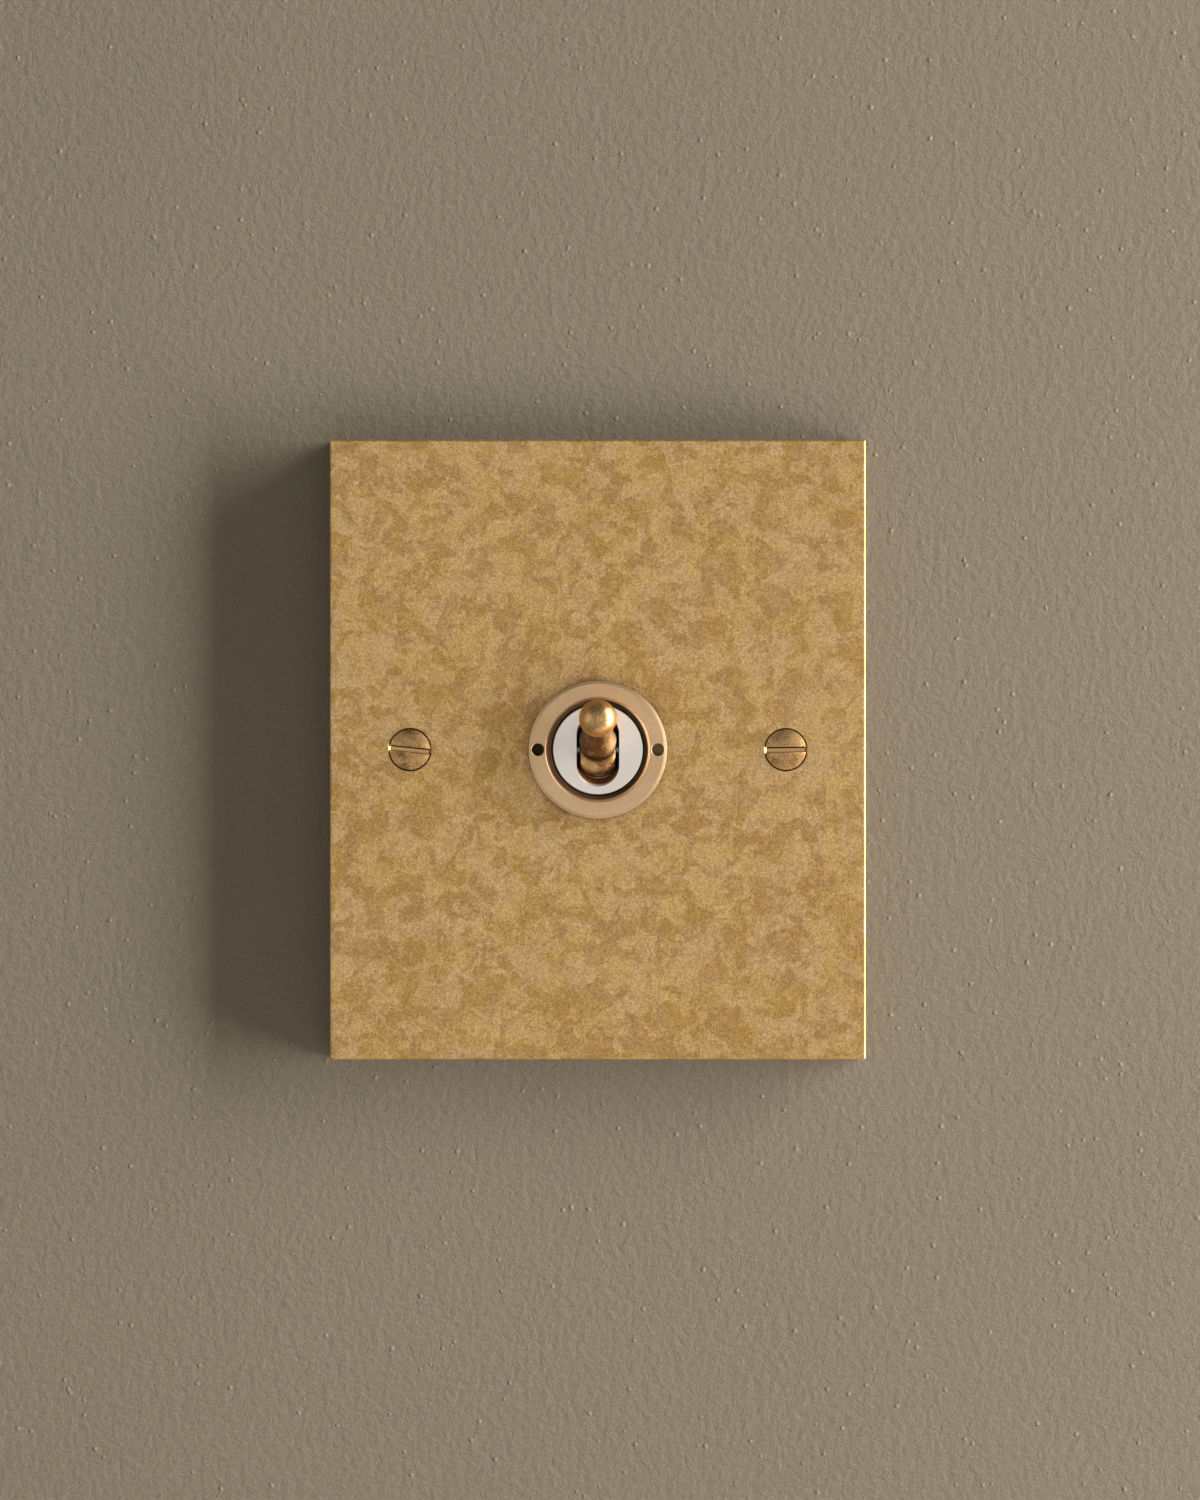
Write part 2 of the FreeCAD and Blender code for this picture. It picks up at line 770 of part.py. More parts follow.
def make_way_terminal(side):
    """Brass block with a tongue for its contact, one way of the switch."""
    wide = terminal_half_width
    low, high = sorted((side * way_block_start, side * way_block_end))
    block = box(-wide, wide, chamber_floor, terminal_back, low, high)
    low, high = sorted((side * tongue_start, side * way_block_start))
    tongue = box(-wide, wide, chamber_floor, chamber_floor + tongue_thickness, low, high)
    inner_z = side * (way_block_start + wire_hole_end_wall)
    hole = rod(wire_hole_radius, Vector(0, wire_y, inner_z), Vector(0, wire_y, side * way_block_end))
    screw_z = side * way_screw_offset
    screw_hole = rod(
        clamp_screw_radius + clamp_screw_fit, Vector(0, wire_y, screw_z), Vector(0, terminal_back, screw_z)
    )
    return block.fuse(tongue).removeSplitter().cut([hole, screw_hole])


def make_clamp_screw(x, z, tip_y, head_y):
    """Slotted clamping screw from its tip to the underside of its head."""
    screw = turned([
        (0.0, tip_y),
        (clamp_screw_radius, tip_y),
        (clamp_screw_radius, head_y),
        (clamp_head_radius, head_y),
        (clamp_head_radius, head_y + clamp_head_height),
        (0.0, head_y + clamp_head_height),
    ])
    slot = box(
        -clamp_head_radius, clamp_head_radius,
        head_y + clamp_head_height - clamp_slot_depth, head_y + clamp_head_height,
        -clamp_slot_width / 2, clamp_slot_width / 2,
    )
    screw = screw.cut(slot)
    screw.translate(Vector(x, 0, z))
    return screw


def make_terminal_screws():
    """The three terminal screws, backed off so that the wire holes are clear."""
    tip = wire_y + wire_hole_radius + clamp_screw_tip_gap
    screws = [make_clamp_screw(x, z, tip, terminal_back + clamp_screw_run) for x, z in clamp_screw_places()]
    return Part.makeCompound(screws)


def make_earth_post():
    """Brass block with a spigot staked into the plate's back."""
    post = box(
        earth_x - earth_half_width, earth_x + earth_half_width,
        0.0, earth_height,
        earth_z - earth_half_height, earth_z + earth_half_height,
    )
    spigot_tip = Vector(earth_x, -earth_spigot_length + seat_clearance, earth_z)
    post = post.fuse(rod(earth_spigot_radius, spigot_tip, Vector(earth_x, 0, earth_z)))
    low = Vector(earth_x, earth_hole_height, earth_z - earth_half_height)
    high = Vector(earth_x, earth_hole_height, earth_z + earth_half_height)
    screw_z = earth_z + earth_screw_offset
    screw_hole = rod(
        clamp_screw_radius + clamp_screw_fit,
        Vector(earth_x, earth_hole_height, screw_z),
        Vector(earth_x, earth_height, screw_z),
    )
    return post.cut([rod(earth_hole_radius, low, high), screw_hole])


def make_earth_screw():
    """Clamping screw of the earth post, backed off."""
    tip = earth_hole_height + earth_hole_radius + clamp_screw_tip_gap
    head = earth_height + clamp_screw_run
    return make_clamp_screw(earth_x, earth_z + earth_screw_offset, tip, head)


def main():
    """Build every piece and write it."""
    os.makedirs("parts", exist_ok=True)
    save("face_plate", make_face_plate())
    save("fixing_screws", make_fixing_screws())
    save("bezel_ring", make_bezel_ring())
    save("barrel", make_barrel())
    save("lock_washer", make_lock_washer())
    save("back_nut", make_back_nut())
    save("pivot_pin", make_pivot_pin())
    save("dolly", make_dolly())
    save("plunger_spring", make_plunger_spring())
    save("plunger", make_plunger())
    save("frame_plate", make_frame_plate())
    save("insulator_sheet", make_insulator_sheet())
    save("housing", make_housing())
    save("inner_moulding", make_inner_moulding())
    save("rocker", make_rocker())
    save("rocker_contacts", make_rocker_contacts())
    save("fixed_contacts", make_fixed_contacts())
    save("common_terminal", make_common_terminal())
    save("lower_way_terminal", make_way_terminal(-1))
    save("upper_way_terminal", make_way_terminal(1))
    save("terminal_screws", make_terminal_screws())
    save("earth_post", make_earth_post())
    save("earth_screw", make_earth_screw())


main()
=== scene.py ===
"""Dress and light the brass dolly switch."""

import logging
import math
from dataclasses import dataclass
from enum import Enum

import bmesh
import bpy
from mathutils import Matrix, Vector


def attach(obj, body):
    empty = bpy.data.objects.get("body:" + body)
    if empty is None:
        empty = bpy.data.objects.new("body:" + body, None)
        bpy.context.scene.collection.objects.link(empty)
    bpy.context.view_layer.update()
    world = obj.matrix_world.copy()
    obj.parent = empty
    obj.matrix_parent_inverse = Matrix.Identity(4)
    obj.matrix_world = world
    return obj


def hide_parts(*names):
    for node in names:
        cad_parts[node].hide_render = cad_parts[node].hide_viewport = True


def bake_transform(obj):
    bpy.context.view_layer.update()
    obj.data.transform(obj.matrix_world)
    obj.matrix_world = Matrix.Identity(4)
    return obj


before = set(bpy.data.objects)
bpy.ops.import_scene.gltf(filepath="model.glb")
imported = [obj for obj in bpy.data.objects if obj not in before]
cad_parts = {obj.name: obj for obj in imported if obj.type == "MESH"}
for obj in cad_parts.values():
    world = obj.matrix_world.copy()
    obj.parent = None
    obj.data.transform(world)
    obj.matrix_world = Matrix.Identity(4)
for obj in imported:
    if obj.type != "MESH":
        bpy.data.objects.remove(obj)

LOG = logging.getLogger("dolly_switch")

Colour = tuple[float, float, float]
Point = tuple[float, float, float]
Pair = tuple[float, float]

MM = 0.001
X_AXIS = (1.0, 0.0, 0.0)
Y_AXIS = (0.0, 1.0, 0.0)
Z_AXIS = (0.0, 0.0, 1.0)
ORIGIN = (0.0, 0.0, 0.0)
ROUND_Y = (1.0, 0.0, 1.0)  # stretch that leaves only the distance from the Y axis
MEAN = 0.5  # of every noise
OVER = 1.0  # millimetres that a cutter stands out of what it cuts


class Join(Enum):
    """How one mesh is combined with another."""

    CUT = "DIFFERENCE"
    ADD = "UNION"


class Body(Enum):
    """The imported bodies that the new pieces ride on."""

    CASE = "plate_and_case"
    DOLLY = "dolly_lever"
    PLUNGER = "plunger_nose"


def stand(name: str, data: bpy.types.ID) -> bpy.types.Object:
    """Return a new object in the scene that shows some data."""
    thing = bpy.data.objects.new(name, data)
    bpy.context.scene.collection.objects.link(thing)
    return thing


# Shader arithmetic


class Value:
    """A shader socket that takes part in Python expressions."""

    def __init__(self, bench: "Bench", socket: bpy.types.NodeSocket) -> None:
        """Keep the socket and the bench whose nodes it belongs to."""
        self.bench = bench
        self.socket = socket

    def math(self, operation: str, *others: "Value | float") -> "Value":
        """Return a Math node of this value and the others."""
        return self.bench.node("ShaderNodeMath", {"operation": operation}, self, *others)

    def __add__(self, other: "Value | float") -> "Value":
        """Add."""
        return self.math("ADD", other)

    __radd__ = __add__

    def __mul__(self, other: "Value | float") -> "Value":
        """Multiply."""
        return self.math("MULTIPLY", other)

    __rmul__ = __mul__

    def __sub__(self, other: "Value | float") -> "Value":
        """Subtract."""
        return self.math("SUBTRACT", other)

    def __rsub__(self, other: float) -> "Value":
        """Subtract this value from a number."""
        return self.bench.node("ShaderNodeMath", {"operation": "SUBTRACT"}, other, self)

    def __abs__(self) -> "Value":
        """Absolute value."""
        return self.math("ABSOLUTE")

    def rise(self, low: float, high: float) -> "Value":
        """Return a smooth step from 0 at low to 1 at high.

        Args:
            low: value at which the step starts.
            high: value at which the step ends; less than low for a fall.

        Returns:
            The stepped value.
        """
        if high < low:
            return 1.0 - self.rise(high, low)
        settings = {"interpolation_type": "SMOOTHSTEP"}
        return self.bench.node("ShaderNodeMapRange", settings, self, low, high, 0.0, 1.0)


class Bench:
    """One material under construction, its pattern measured in millimetres."""

    OUTPUT = "ShaderNodeOutputMaterial"

    def __init__(self, name: str) -> None:
        """Start with only the output node."""
        self.block = self.new_block(name)
        self.block.use_nodes = True
        self.tree = self.block.node_tree
        self.tree.nodes.clear()
        self.output = self.tree.nodes.new(self.OUTPUT)

    @staticmethod
    def new_block(name: str) -> bpy.types.ID:
        """Return the new datablock that holds the nodes."""
        return bpy.data.materials.new(name)

    def node(
        self, kind: str, settings: dict[str, object], *inputs: object,
        out: int | str = 0, **named: object,
    ) -> Value:
        """Add a node.

        Args:
            kind: node type.
            settings: attributes set before its sockets.
            inputs: values or links of the sockets in order; None leaves one alone.
            out: which output is returned.
            named: values or links of sockets by name, underscores for spaces.

        Returns:
            The chosen output.
        """
        node = self.tree.nodes.new(kind)
        for key, setting in settings.items():
            setattr(node, key, setting)
        targets = list(zip(node.inputs, inputs))
        targets += [(node.inputs[key.replace("_", " ")], value) for key, value in named.items()]
        for socket, value in targets:
            if isinstance(value, Value):
                self.tree.links.new(value.socket, socket)
            elif value is not None:
                socket.default_value = value
        return Value(self, node.outputs[out])

    def place(
        self, stretch: Point = (1.0, 1.0, 1.0), centre: Point = ORIGIN, tilt: float = 0.0
    ) -> Value:
        """Return object coordinates in millimetres.

        Args:
            stretch: factor on each axis, taken before the tilt.
            centre: millimetre point that becomes the origin, in the tilted axes.
            tilt: degrees that the coordinates are turned about X.

        Returns:
            The coordinates as a vector.
        """
        coords = self.node("ShaderNodeTexCoord", {}, out="Object")
        return self.node(
            "ShaderNodeMapping", {"vector_type": "POINT"}, coords,
            tuple(-c * s for c, s in zip(centre, stretch)),
            (math.radians(tilt), 0.0, 0.0),
            tuple(s / MM for s in stretch),
        )

    def split(self, where: Value) -> tuple[Value, ...]:
        """Return the X, Y and Z of a vector."""
        return tuple(self.node("ShaderNodeSeparateXYZ", {}, where, out=axis) for axis in "XYZ")

    def noise(self, where: Value, size: float, detail: float = 2.0, warp: float = 0.0) -> Value:
        """Return cloud noise whose grains are about size millimetres."""
        return self.node(
            "ShaderNodeTexNoise", {}, Vector=where, Scale=1.0 / size, Detail=detail,
            Roughness=0.5, Distortion=warp,
        )

    def rings(self, radius: Value, pitch: float) -> Value:
        """Return noise that changes only with the radius, as turning marks do."""
        settings = {"noise_dimensions": "1D"}
        across = radius * (1.0 / pitch)
        return self.node("ShaderNodeTexNoise", settings, W=across, Scale=1.0, Detail=1.0)

    def radius(self, where: Value) -> Value:
        """Return the length of a vector."""
        return self.node("ShaderNodeVectorMath", {"operation": "LENGTH"}, where, out="Value")

    def _mix(self, settings: dict[str, object], amount: Value | float, *colours: object) -> Value:
        """Return a Mix node of two colours."""
        pair = ((*c, 1.0) if isinstance(c, tuple) else c for c in colours)
        settings = {"data_type": "RGBA", **settings}
        return self.node("ShaderNodeMix", settings, amount, *(None,) * 5, *pair, out=2)

    def blend(self, amount: Value, first: Value | Colour, second: Value | Colour) -> Value:
        """Return a colour between two, by amount."""
        return self._mix({"clamp_factor": True}, amount, first, second)

    def shade(self, colour: Value | Colour, factor: Value) -> Value:
        """Return a colour times a number."""
        grey = self.node("ShaderNodeCombineColor", {}, factor, factor, factor)
        return self._mix({"blend_type": "MULTIPLY"}, 1.0, colour, grey)

    def bump(self, height: Value, depth: float) -> Value:
        """Return a normal raised by height times depth millimetres."""
        return self.node(
            "ShaderNodeBump", {}, Strength=1.0, Distance=depth * MM, Height=height, out="Normal"
        )

    def gloss(
        self, colour: Value, metallic: float, roughness: Value | float,
        normal: Value | None = None, specular: float = 0.5,
    ) -> Value:
        """Return a Principled shader.

        Args:
            colour: base colour.
            metallic: share of metal.
            roughness: roughness of the gloss.
            normal: shading normal, or None for the mesh's own.
            specular: specular level of what isn't metal.

        Returns:
            The shader.
        """
        return self.node(
            "ShaderNodeBsdfPrincipled", {}, Base_Color=colour, Metallic=metallic,
            Roughness=roughness, Normal=normal, Specular_IOR_Level=specular,
        )

    def finish(self, shader: Value) -> bpy.types.ID:
        """Link the shader to the output and return the finished datablock."""
        self.tree.links.new(shader.socket, self.output.inputs["Surface"])
        return self.block


class WorldBench(Bench):
    """The room's own light under construction."""

    OUTPUT = "ShaderNodeOutputWorld"

    @staticmethod
    def new_block(name: str) -> bpy.types.ID:
        """Return the new world."""
        return bpy.data.worlds.new(name)


# Finishes


@dataclass(frozen=True)
class AgedBrass:
    """Brass sheet aged by hand: cloudy tan patches over a browner ground, finely speckled."""

    name: str = "aged_brass"
    light: Colour = (0.905, 0.600, 0.280)
    dark: Colour = (0.685, 0.405, 0.155)
    light_gold: Colour = (0.905, 0.600, 0.235)
    dark_gold: Colour = (0.700, 0.425, 0.130)
    # Brown of the patina left of the ring, which also stands in for the ring's cast shadow and
    # contact shade.
    stain_and_ring_shadow: Colour = (0.40, 0.180, 0.055)
    # Painted shade for the plate's sides.
    edge: Colour = (0.13, 0.065, 0.025)
    # Painted shade for the countersinks round the screw heads.
    countersink_shade: Colour = (0.045, 0.022, 0.010)
    cloud_size: float = 24.0
    tint_size: float = 6.0
    tint_centre: Point = (31.0, 7.0, 12.0)
    patch_size: float = 4.2
    fleck_size: float = 1.7
    speckle_size: float = 0.17
    grain_ratio: float = 2.2
    patch_band: Pair = (0.45, 0.53)
    fleck_band: Pair = (0.43, 0.56)
    tint_band: Pair = (0.40, 0.62)
    metallic: float = 0.90
    roughness: float = 0.52
    relief: float = 0.018
    stain_and_shadow_centre: Point = (-4.4, 0.0, 0.8)
    stain_and_shadow_band: Pair = (17.5, 8.0)
    ring_contact_shade_band: Pair = (12.9, 10.9)
    side_x_band: Pair = (42.85, 42.97)
    side_z_band: Pair = (49.60, 49.72)
    side_y_band: Pair = (-3.75, -3.45)
    screw_x: float = 30.15
    screw_reach: float = 3.7
    screw_fade: float = 0.5
    sink_front: Pair = (-4.0, -3.9)
    sink_rear: Pair = (-0.3, -0.6)
    slot_band: Pair = (0.45, 0.65)

    def material(self) -> bpy.types.Material:
        """Build the finish."""
        bench = Bench(self.name)
        where = bench.place()
        cloud = bench.noise(where, self.cloud_size, 3.0, 0.4)
        tint = bench.noise(bench.place(centre=self.tint_centre), self.tint_size, 2.5, 0.8)
        patch = bench.noise(where, self.patch_size, 3.5, 0.8)
        fleck = bench.noise(where, self.fleck_size, 3.0, 0.9)
        speckle = bench.noise(where, self.speckle_size, 1.0)
        grain = bench.noise(where, self.speckle_size * self.grain_ratio, 2.0)
        ragged = patch + (grain - MEAN) * 0.08
        flecked = fleck + (speckle - MEAN) * 0.1
        pale = ragged.rise(*self.patch_band) * 0.66 + flecked.rise(*self.fleck_band) * 0.42
        pale = pale + (cloud - MEAN) * 0.7 - 0.04
        plain = bench.blend(pale, self.dark, self.light)
        golden = bench.blend(pale, self.dark_gold, self.light_gold)
        colour = bench.blend(tint.rise(*self.tint_band), plain, golden)
        # Patina left of the ring that also paints in the ring's cast shadow, plus painted contact
        # shade in a band hugging the ring all round.
        around = bench.radius(bench.place(ROUND_Y, self.stain_and_shadow_centre))
        close = bench.radius(bench.place(ROUND_Y))
        stain_and_ring_shadow = around.rise(*self.stain_and_shadow_band) * (0.42 - patch * 0.42)
        stain_and_ring_shadow = stain_and_ring_shadow + close.rise(*self.ring_contact_shade_band) * 0.18
        colour = bench.blend(stain_and_ring_shadow, colour, self.stain_and_ring_shadow)
        colour = bench.shade(colour, 0.04 + speckle * 1.10 + grain * 0.70)
        x, y, z = bench.split(where)
        # Painted shade: the plate's four sides are darkened to hold back the lamp's light on them.
        side = abs(x).rise(*self.side_x_band) + abs(z).rise(*self.side_z_band)
        colour = bench.blend(side * y.rise(*self.side_y_band), colour, self.edge)
        # Painted shade in the countersink round each screw head, left out level with the slot.
        screw = (abs(x) - self.screw_x).math("POWER", 2.0) + z * z
        reach = self.screw_reach ** 2
        sunk = screw.rise(reach, reach - self.screw_fade)
        sunk = sunk * (y.rise(*self.sink_front) * y.rise(*self.sink_rear))
        colour = bench.blend(sunk * abs(z).rise(*self.slot_band), colour, self.countersink_shade)
        roughness = self.roughness - pale * 0.05 + (speckle - MEAN) * 0.16
        normal = bench.bump(speckle * 0.6 + patch * 0.3, self.relief)
        return bench.finish(bench.gloss(colour, self.metallic, roughness, normal))


@dataclass(frozen=True)
class Turned:
    """Lathe-turned metal with rings round its axis and fine grain."""

    name: str
    colour: Colour
    shade: Colour
    roughness: float
    ring_pitch: float = 0.16
    ring_depth: float = 0.004
    grain: float = 0.10
    grain_size: float = 0.30
    broad_size: float = 7.0
    broad_band: Pair = (0.35, 0.65)
    # Colour of the shade painted into hollows.
    painted_shade: Colour = (0.035, 0.018, 0.008)
    shaded_from: float | None = None
    shade_fade: float = 0.35
    # Depth of a thin painted highlight line at the slot's lip, left out of the painted shade.
    lip_highlight_at: float | None = None
    wear_and_highlight_band: Pair = (0.04, 0.10)
    pit_offset: float = 0.0
    pit_radius: float = 0.0
    pit_fade: float = 0.04
    # Radius of the ring's rim, where shade is painted on its bevel and side.
    shaded_rim_radius: float | None = None
    shaded_mouth_radius: float | None = None
    metallic: float = 0.95

    def material(self) -> bpy.types.Material:
        """Build the finish."""
        bench = Bench(self.name)
        radius = bench.radius(bench.place(ROUND_Y))
        rings = bench.rings(radius, self.ring_pitch)
        where = bench.place()
        x, y, z = bench.split(where)
        grain = bench.noise(where, self.grain_size, 2.0)
        broad = bench.noise(where, self.broad_size, 2.0, 0.5)
        colour = bench.blend(broad.rise(*self.broad_band), self.shade, self.colour)
        marks = grain * self.grain * 1.4 + rings * self.grain * 0.6
        colour = bench.shade(colour, (1.0 - self.grain) + marks)
        # Painted shade deeper than a given depth: in the ring's spanner holes, and in the barrel's
        # slot as painted shade and dark reflection.
        if self.shaded_from is not None:
            shaded = y.rise(self.shaded_from, self.shaded_from + self.shade_fade)
            # Painted highlight: a thin line at the slot's lip is left out of the painted shade.
            if self.lip_highlight_at is not None:
                shaded = shaded * abs(y - self.lip_highlight_at).rise(*self.wear_and_highlight_band)
            # Painted shade inside the spanner holes, a little lighter in the right one.
            if self.pit_radius:
                away = (abs(x) - self.pit_offset).math("POWER", 2.0) + z * z
                reach = self.pit_radius ** 2
                shaded = shaded * away.rise(reach + self.pit_fade, reach)
                shaded = shaded * (1.0 - x.rise(0.0, 1.0) * 0.22)
            colour = bench.blend(shaded, colour, self.painted_shade)
        # Painted shade on the ring's outer bevel, stronger on the right to tone down the lamp's
        # highlight there, and painted contact shade on the ring's side.
        if self.shaded_rim_radius is not None:
            rim = self.shaded_rim_radius
            bevel = radius.rise(rim - 0.6, rim - 0.5) * x.rise(-1.0, 6.0)
            colour = bench.blend(bevel * 0.25, colour, self.painted_shade)
            colour = bench.blend(radius.rise(rim - 0.06, rim - 0.02), colour, self.painted_shade)
        # Painted shade in the ring's mouth beside the barrel, strongest on the right where the
        # groove is in shadow.
        if self.shaded_mouth_radius is not None:
            mouth = radius.rise(self.shaded_mouth_radius + 0.2, self.shaded_mouth_radius)
            mouth = mouth * (x.rise(-6.0, 3.0) * 0.65 + 0.1)
            colour = bench.blend(mouth, colour, self.painted_shade)
        roughness = self.roughness - 0.06 + rings * 0.06 + grain * 0.06
        normal = bench.bump(rings, self.ring_depth)
        return bench.finish(bench.gloss(colour, self.metallic, roughness, normal))


@dataclass(frozen=True)
class AntiqueBrass:
    """Dark browned brass worn back to bright grains, with some highlight, light and shade painted
    in.
    """

    name: str = "antique_brass"
    bright: Colour = (0.80, 0.50, 0.22)
    brown: Colour = (0.200, 0.082, 0.022)
    # Colour of the painted shade at the bell's rim and along the screw slots.
    painted_shade: Colour = (0.030, 0.014, 0.006)
    roughness: float = 0.42
    relief: float = 0.010
    grain_size: float = 0.20
    cloud_size: float = 2.4
    fine_size: float = 0.10
    # Band of the bright worn brass, which also carries painted highlights.
    wear_and_highlight_band: Pair = (0.42, 0.74)
    tip_from: float = 13.4
    tip_to: float = 16.0
    bell_rim: float = -6.6
    # Centre and reach of a painted highlight on the hub's upper left.
    hub_highlight_place: Point = (-1.6, -5.6, -2.9)
    hub_highlight_band: Pair = (2.0, 0.4)
    stem_foot: Point = (0.0, -1.243, -0.380)
    stem_tilt: float = 17.0
    rim_reach: float = 5.2
    # Reach of the painted shade round the bell's rim.
    rim_shade_radius: float = 3.0
    rim_shade_fade: float = 0.55
    screw_x: float = 30.15
    screw_reach: float = 3.3
    slot_floor: float = -3.75
    slot_half: float = 0.45
    slot_depth: Pair = (-3.40, -3.50)
    slot_lean: Pair = (0.105, -0.0175)

    def material(self) -> bpy.types.Material:
        """Build the finish."""
        bench = Bench(self.name)
        where = bench.place()
        grain = bench.noise(where, self.grain_size, 2.0)
        cloud = bench.noise(where, self.cloud_size, 2.0, 0.6)
        fine = bench.noise(where, self.fine_size, 1.0)
        x, y, z = bench.split(where)
        # Painted highlight: a bright patch on the hub's upper left.
        hub_highlight = bench.radius(bench.place(centre=self.hub_highlight_place)).rise(*self.hub_highlight_band)
        near = self.screw_x - self.screw_reach
        at_screws = abs(x).rise(near - 1.0, near)
        # Screw heads worn a little brighter, their slot floors painted lighter as if lit.
        floor = y.rise(self.slot_floor, self.slot_floor + 0.1)
        screws = at_screws * (floor + 0.5)
        # Painted light on the bell: a little darker on its left, lighter on its right where the
        # lamp falls.
        bell = y.rise(-self.tip_from, 1.0 - self.tip_from)
        bell = bell * y.rise(self.bell_rim + 0.3, self.bell_rim)
        tip = y.rise(-self.tip_from, -self.tip_to)
        bell = bell * (0.07 - x.rise(0.4, 2.4) * 0.22)
        # Real wear brightens the ball tip and screw heads; the hub patch, the bell's right and the
        # slot floors add painted highlight and light.
        wear_and_highlight_bias = tip * 0.18 + hub_highlight * 0.34 + screws * 0.20 - bell + 0.02
        bright_wear_and_highlight = (grain * 0.55 + cloud * 0.45 + wear_and_highlight_bias).rise(*self.wear_and_highlight_band)
        colour = bench.blend(bright_wear_and_highlight, self.brown, self.bright)
        colour = bench.shade(colour, 0.66 + fine * 0.32 + grain * 0.38)
        # Painted shade on the hub round the bell's rim.
        rim_shade = self._rim_shade_mask(bench, x) * abs(x).rise(near, near - 1.0)
        colour = bench.blend(rim_shade * 0.85, colour, self.painted_shade)
        # Painted shade along both edges of each screw's slot.
        lines = self._slot_edge_shade(x, z) * floor * y.rise(*self.slot_depth) * at_screws
        colour = bench.blend(lines, colour, self.painted_shade)
        roughness = self.roughness + 0.06 - bright_wear_and_highlight * 0.10 + fine * 0.06 - tip * 0.08
        normal = bench.bump(grain, self.relief)
        return bench.finish(bench.gloss(colour, 1.0, roughness, normal))

    def _rim_shade_mask(self, bench: Bench, x: Value) -> Value:
        """Return the mask of painted shade on the hub just behind the bell's rim."""
        stem = bench.place(centre=self.stem_foot, tilt=self.stem_tilt)
        _, along, aside = bench.split(stem)
        inner, outer = self.rim_shade_radius, self.rim_shade_radius + self.rim_shade_fade
        rim_shade = (x * x + aside * aside).rise(outer ** 2, inner ** 2)
        return rim_shade * along.rise(-self.rim_reach, 0.1 - self.rim_reach)

    def _slot_edge_shade(self, x: Value, z: Value) -> Value:
        """Return the mask of painted shade along both edges of each screw's slot."""
        left, right = self.slot_lean
        right_side = x.rise(-1.0, 1.0)
        along = x + self.screw_x - right_side * self.screw_x * 2.0
        across = z + along * (left + right_side * (right - left))
        upper = across.rise(self.slot_half - 0.32, self.slot_half - 0.14)
        lower = across.rise(0.18 - self.slot_half, 0.05 - self.slot_half)
        return upper + lower * 0.8


@dataclass(frozen=True)
class PlainMetal:
    """Pressed or drawn metal with a soft mottle and faint drawing lines."""

    name: str
    colour: Colour
    shade: Colour
    roughness: float
    mottle_size: float = 1.4
    mottle_band: Pair = (0.35, 0.65)
    line_stretch: Point = (6.0, 6.0, 0.35)
    metallic: float = 0.95
    relief: float = 0.006

    def material(self) -> bpy.types.Material:
        """Build the finish."""
        bench = Bench(self.name)
        mottle = bench.noise(bench.place(), self.mottle_size, 2.0, 0.8)
        lines = bench.noise(bench.place(self.line_stretch), 1.0, 1.0)
        colour = bench.blend(mottle.rise(*self.mottle_band), self.shade, self.colour)
        colour = bench.shade(colour, 0.92 + lines * 0.16)
        roughness = self.roughness + (mottle - MEAN) * 0.14
        normal = bench.bump(lines, self.relief)
        return bench.finish(bench.gloss(colour, self.metallic, roughness, normal))


@dataclass(frozen=True)
class Moulded:
    """Moulded or pressed insulating stuff with a fine fleck."""

    name: str
    colour: Colour
    fleck: Colour
    roughness: float
    fleck_size: float = 0.5
    amount: float = 0.5
    fleck_band: Pair = (0.5, 0.72)
    skin_size: float = 4.0
    relief: float = 0.01
    specular: float = 0.45

    def material(self) -> bpy.types.Material:
        """Build the finish."""
        bench = Bench(self.name)
        where = bench.place()
        flecks = bench.noise(where, self.fleck_size, 3.0, 0.4)
        skin = bench.noise(where, self.skin_size, 2.0)
        amount = flecks.rise(*self.fleck_band) * self.amount
        colour = bench.blend(amount, self.colour, self.fleck)
        colour = bench.shade(colour, 0.92 + skin * 0.16)
        roughness = self.roughness + (skin - MEAN) * 0.16
        normal = bench.bump(flecks, self.relief)
        return bench.finish(bench.gloss(colour, 0.0, roughness, normal, self.specular))


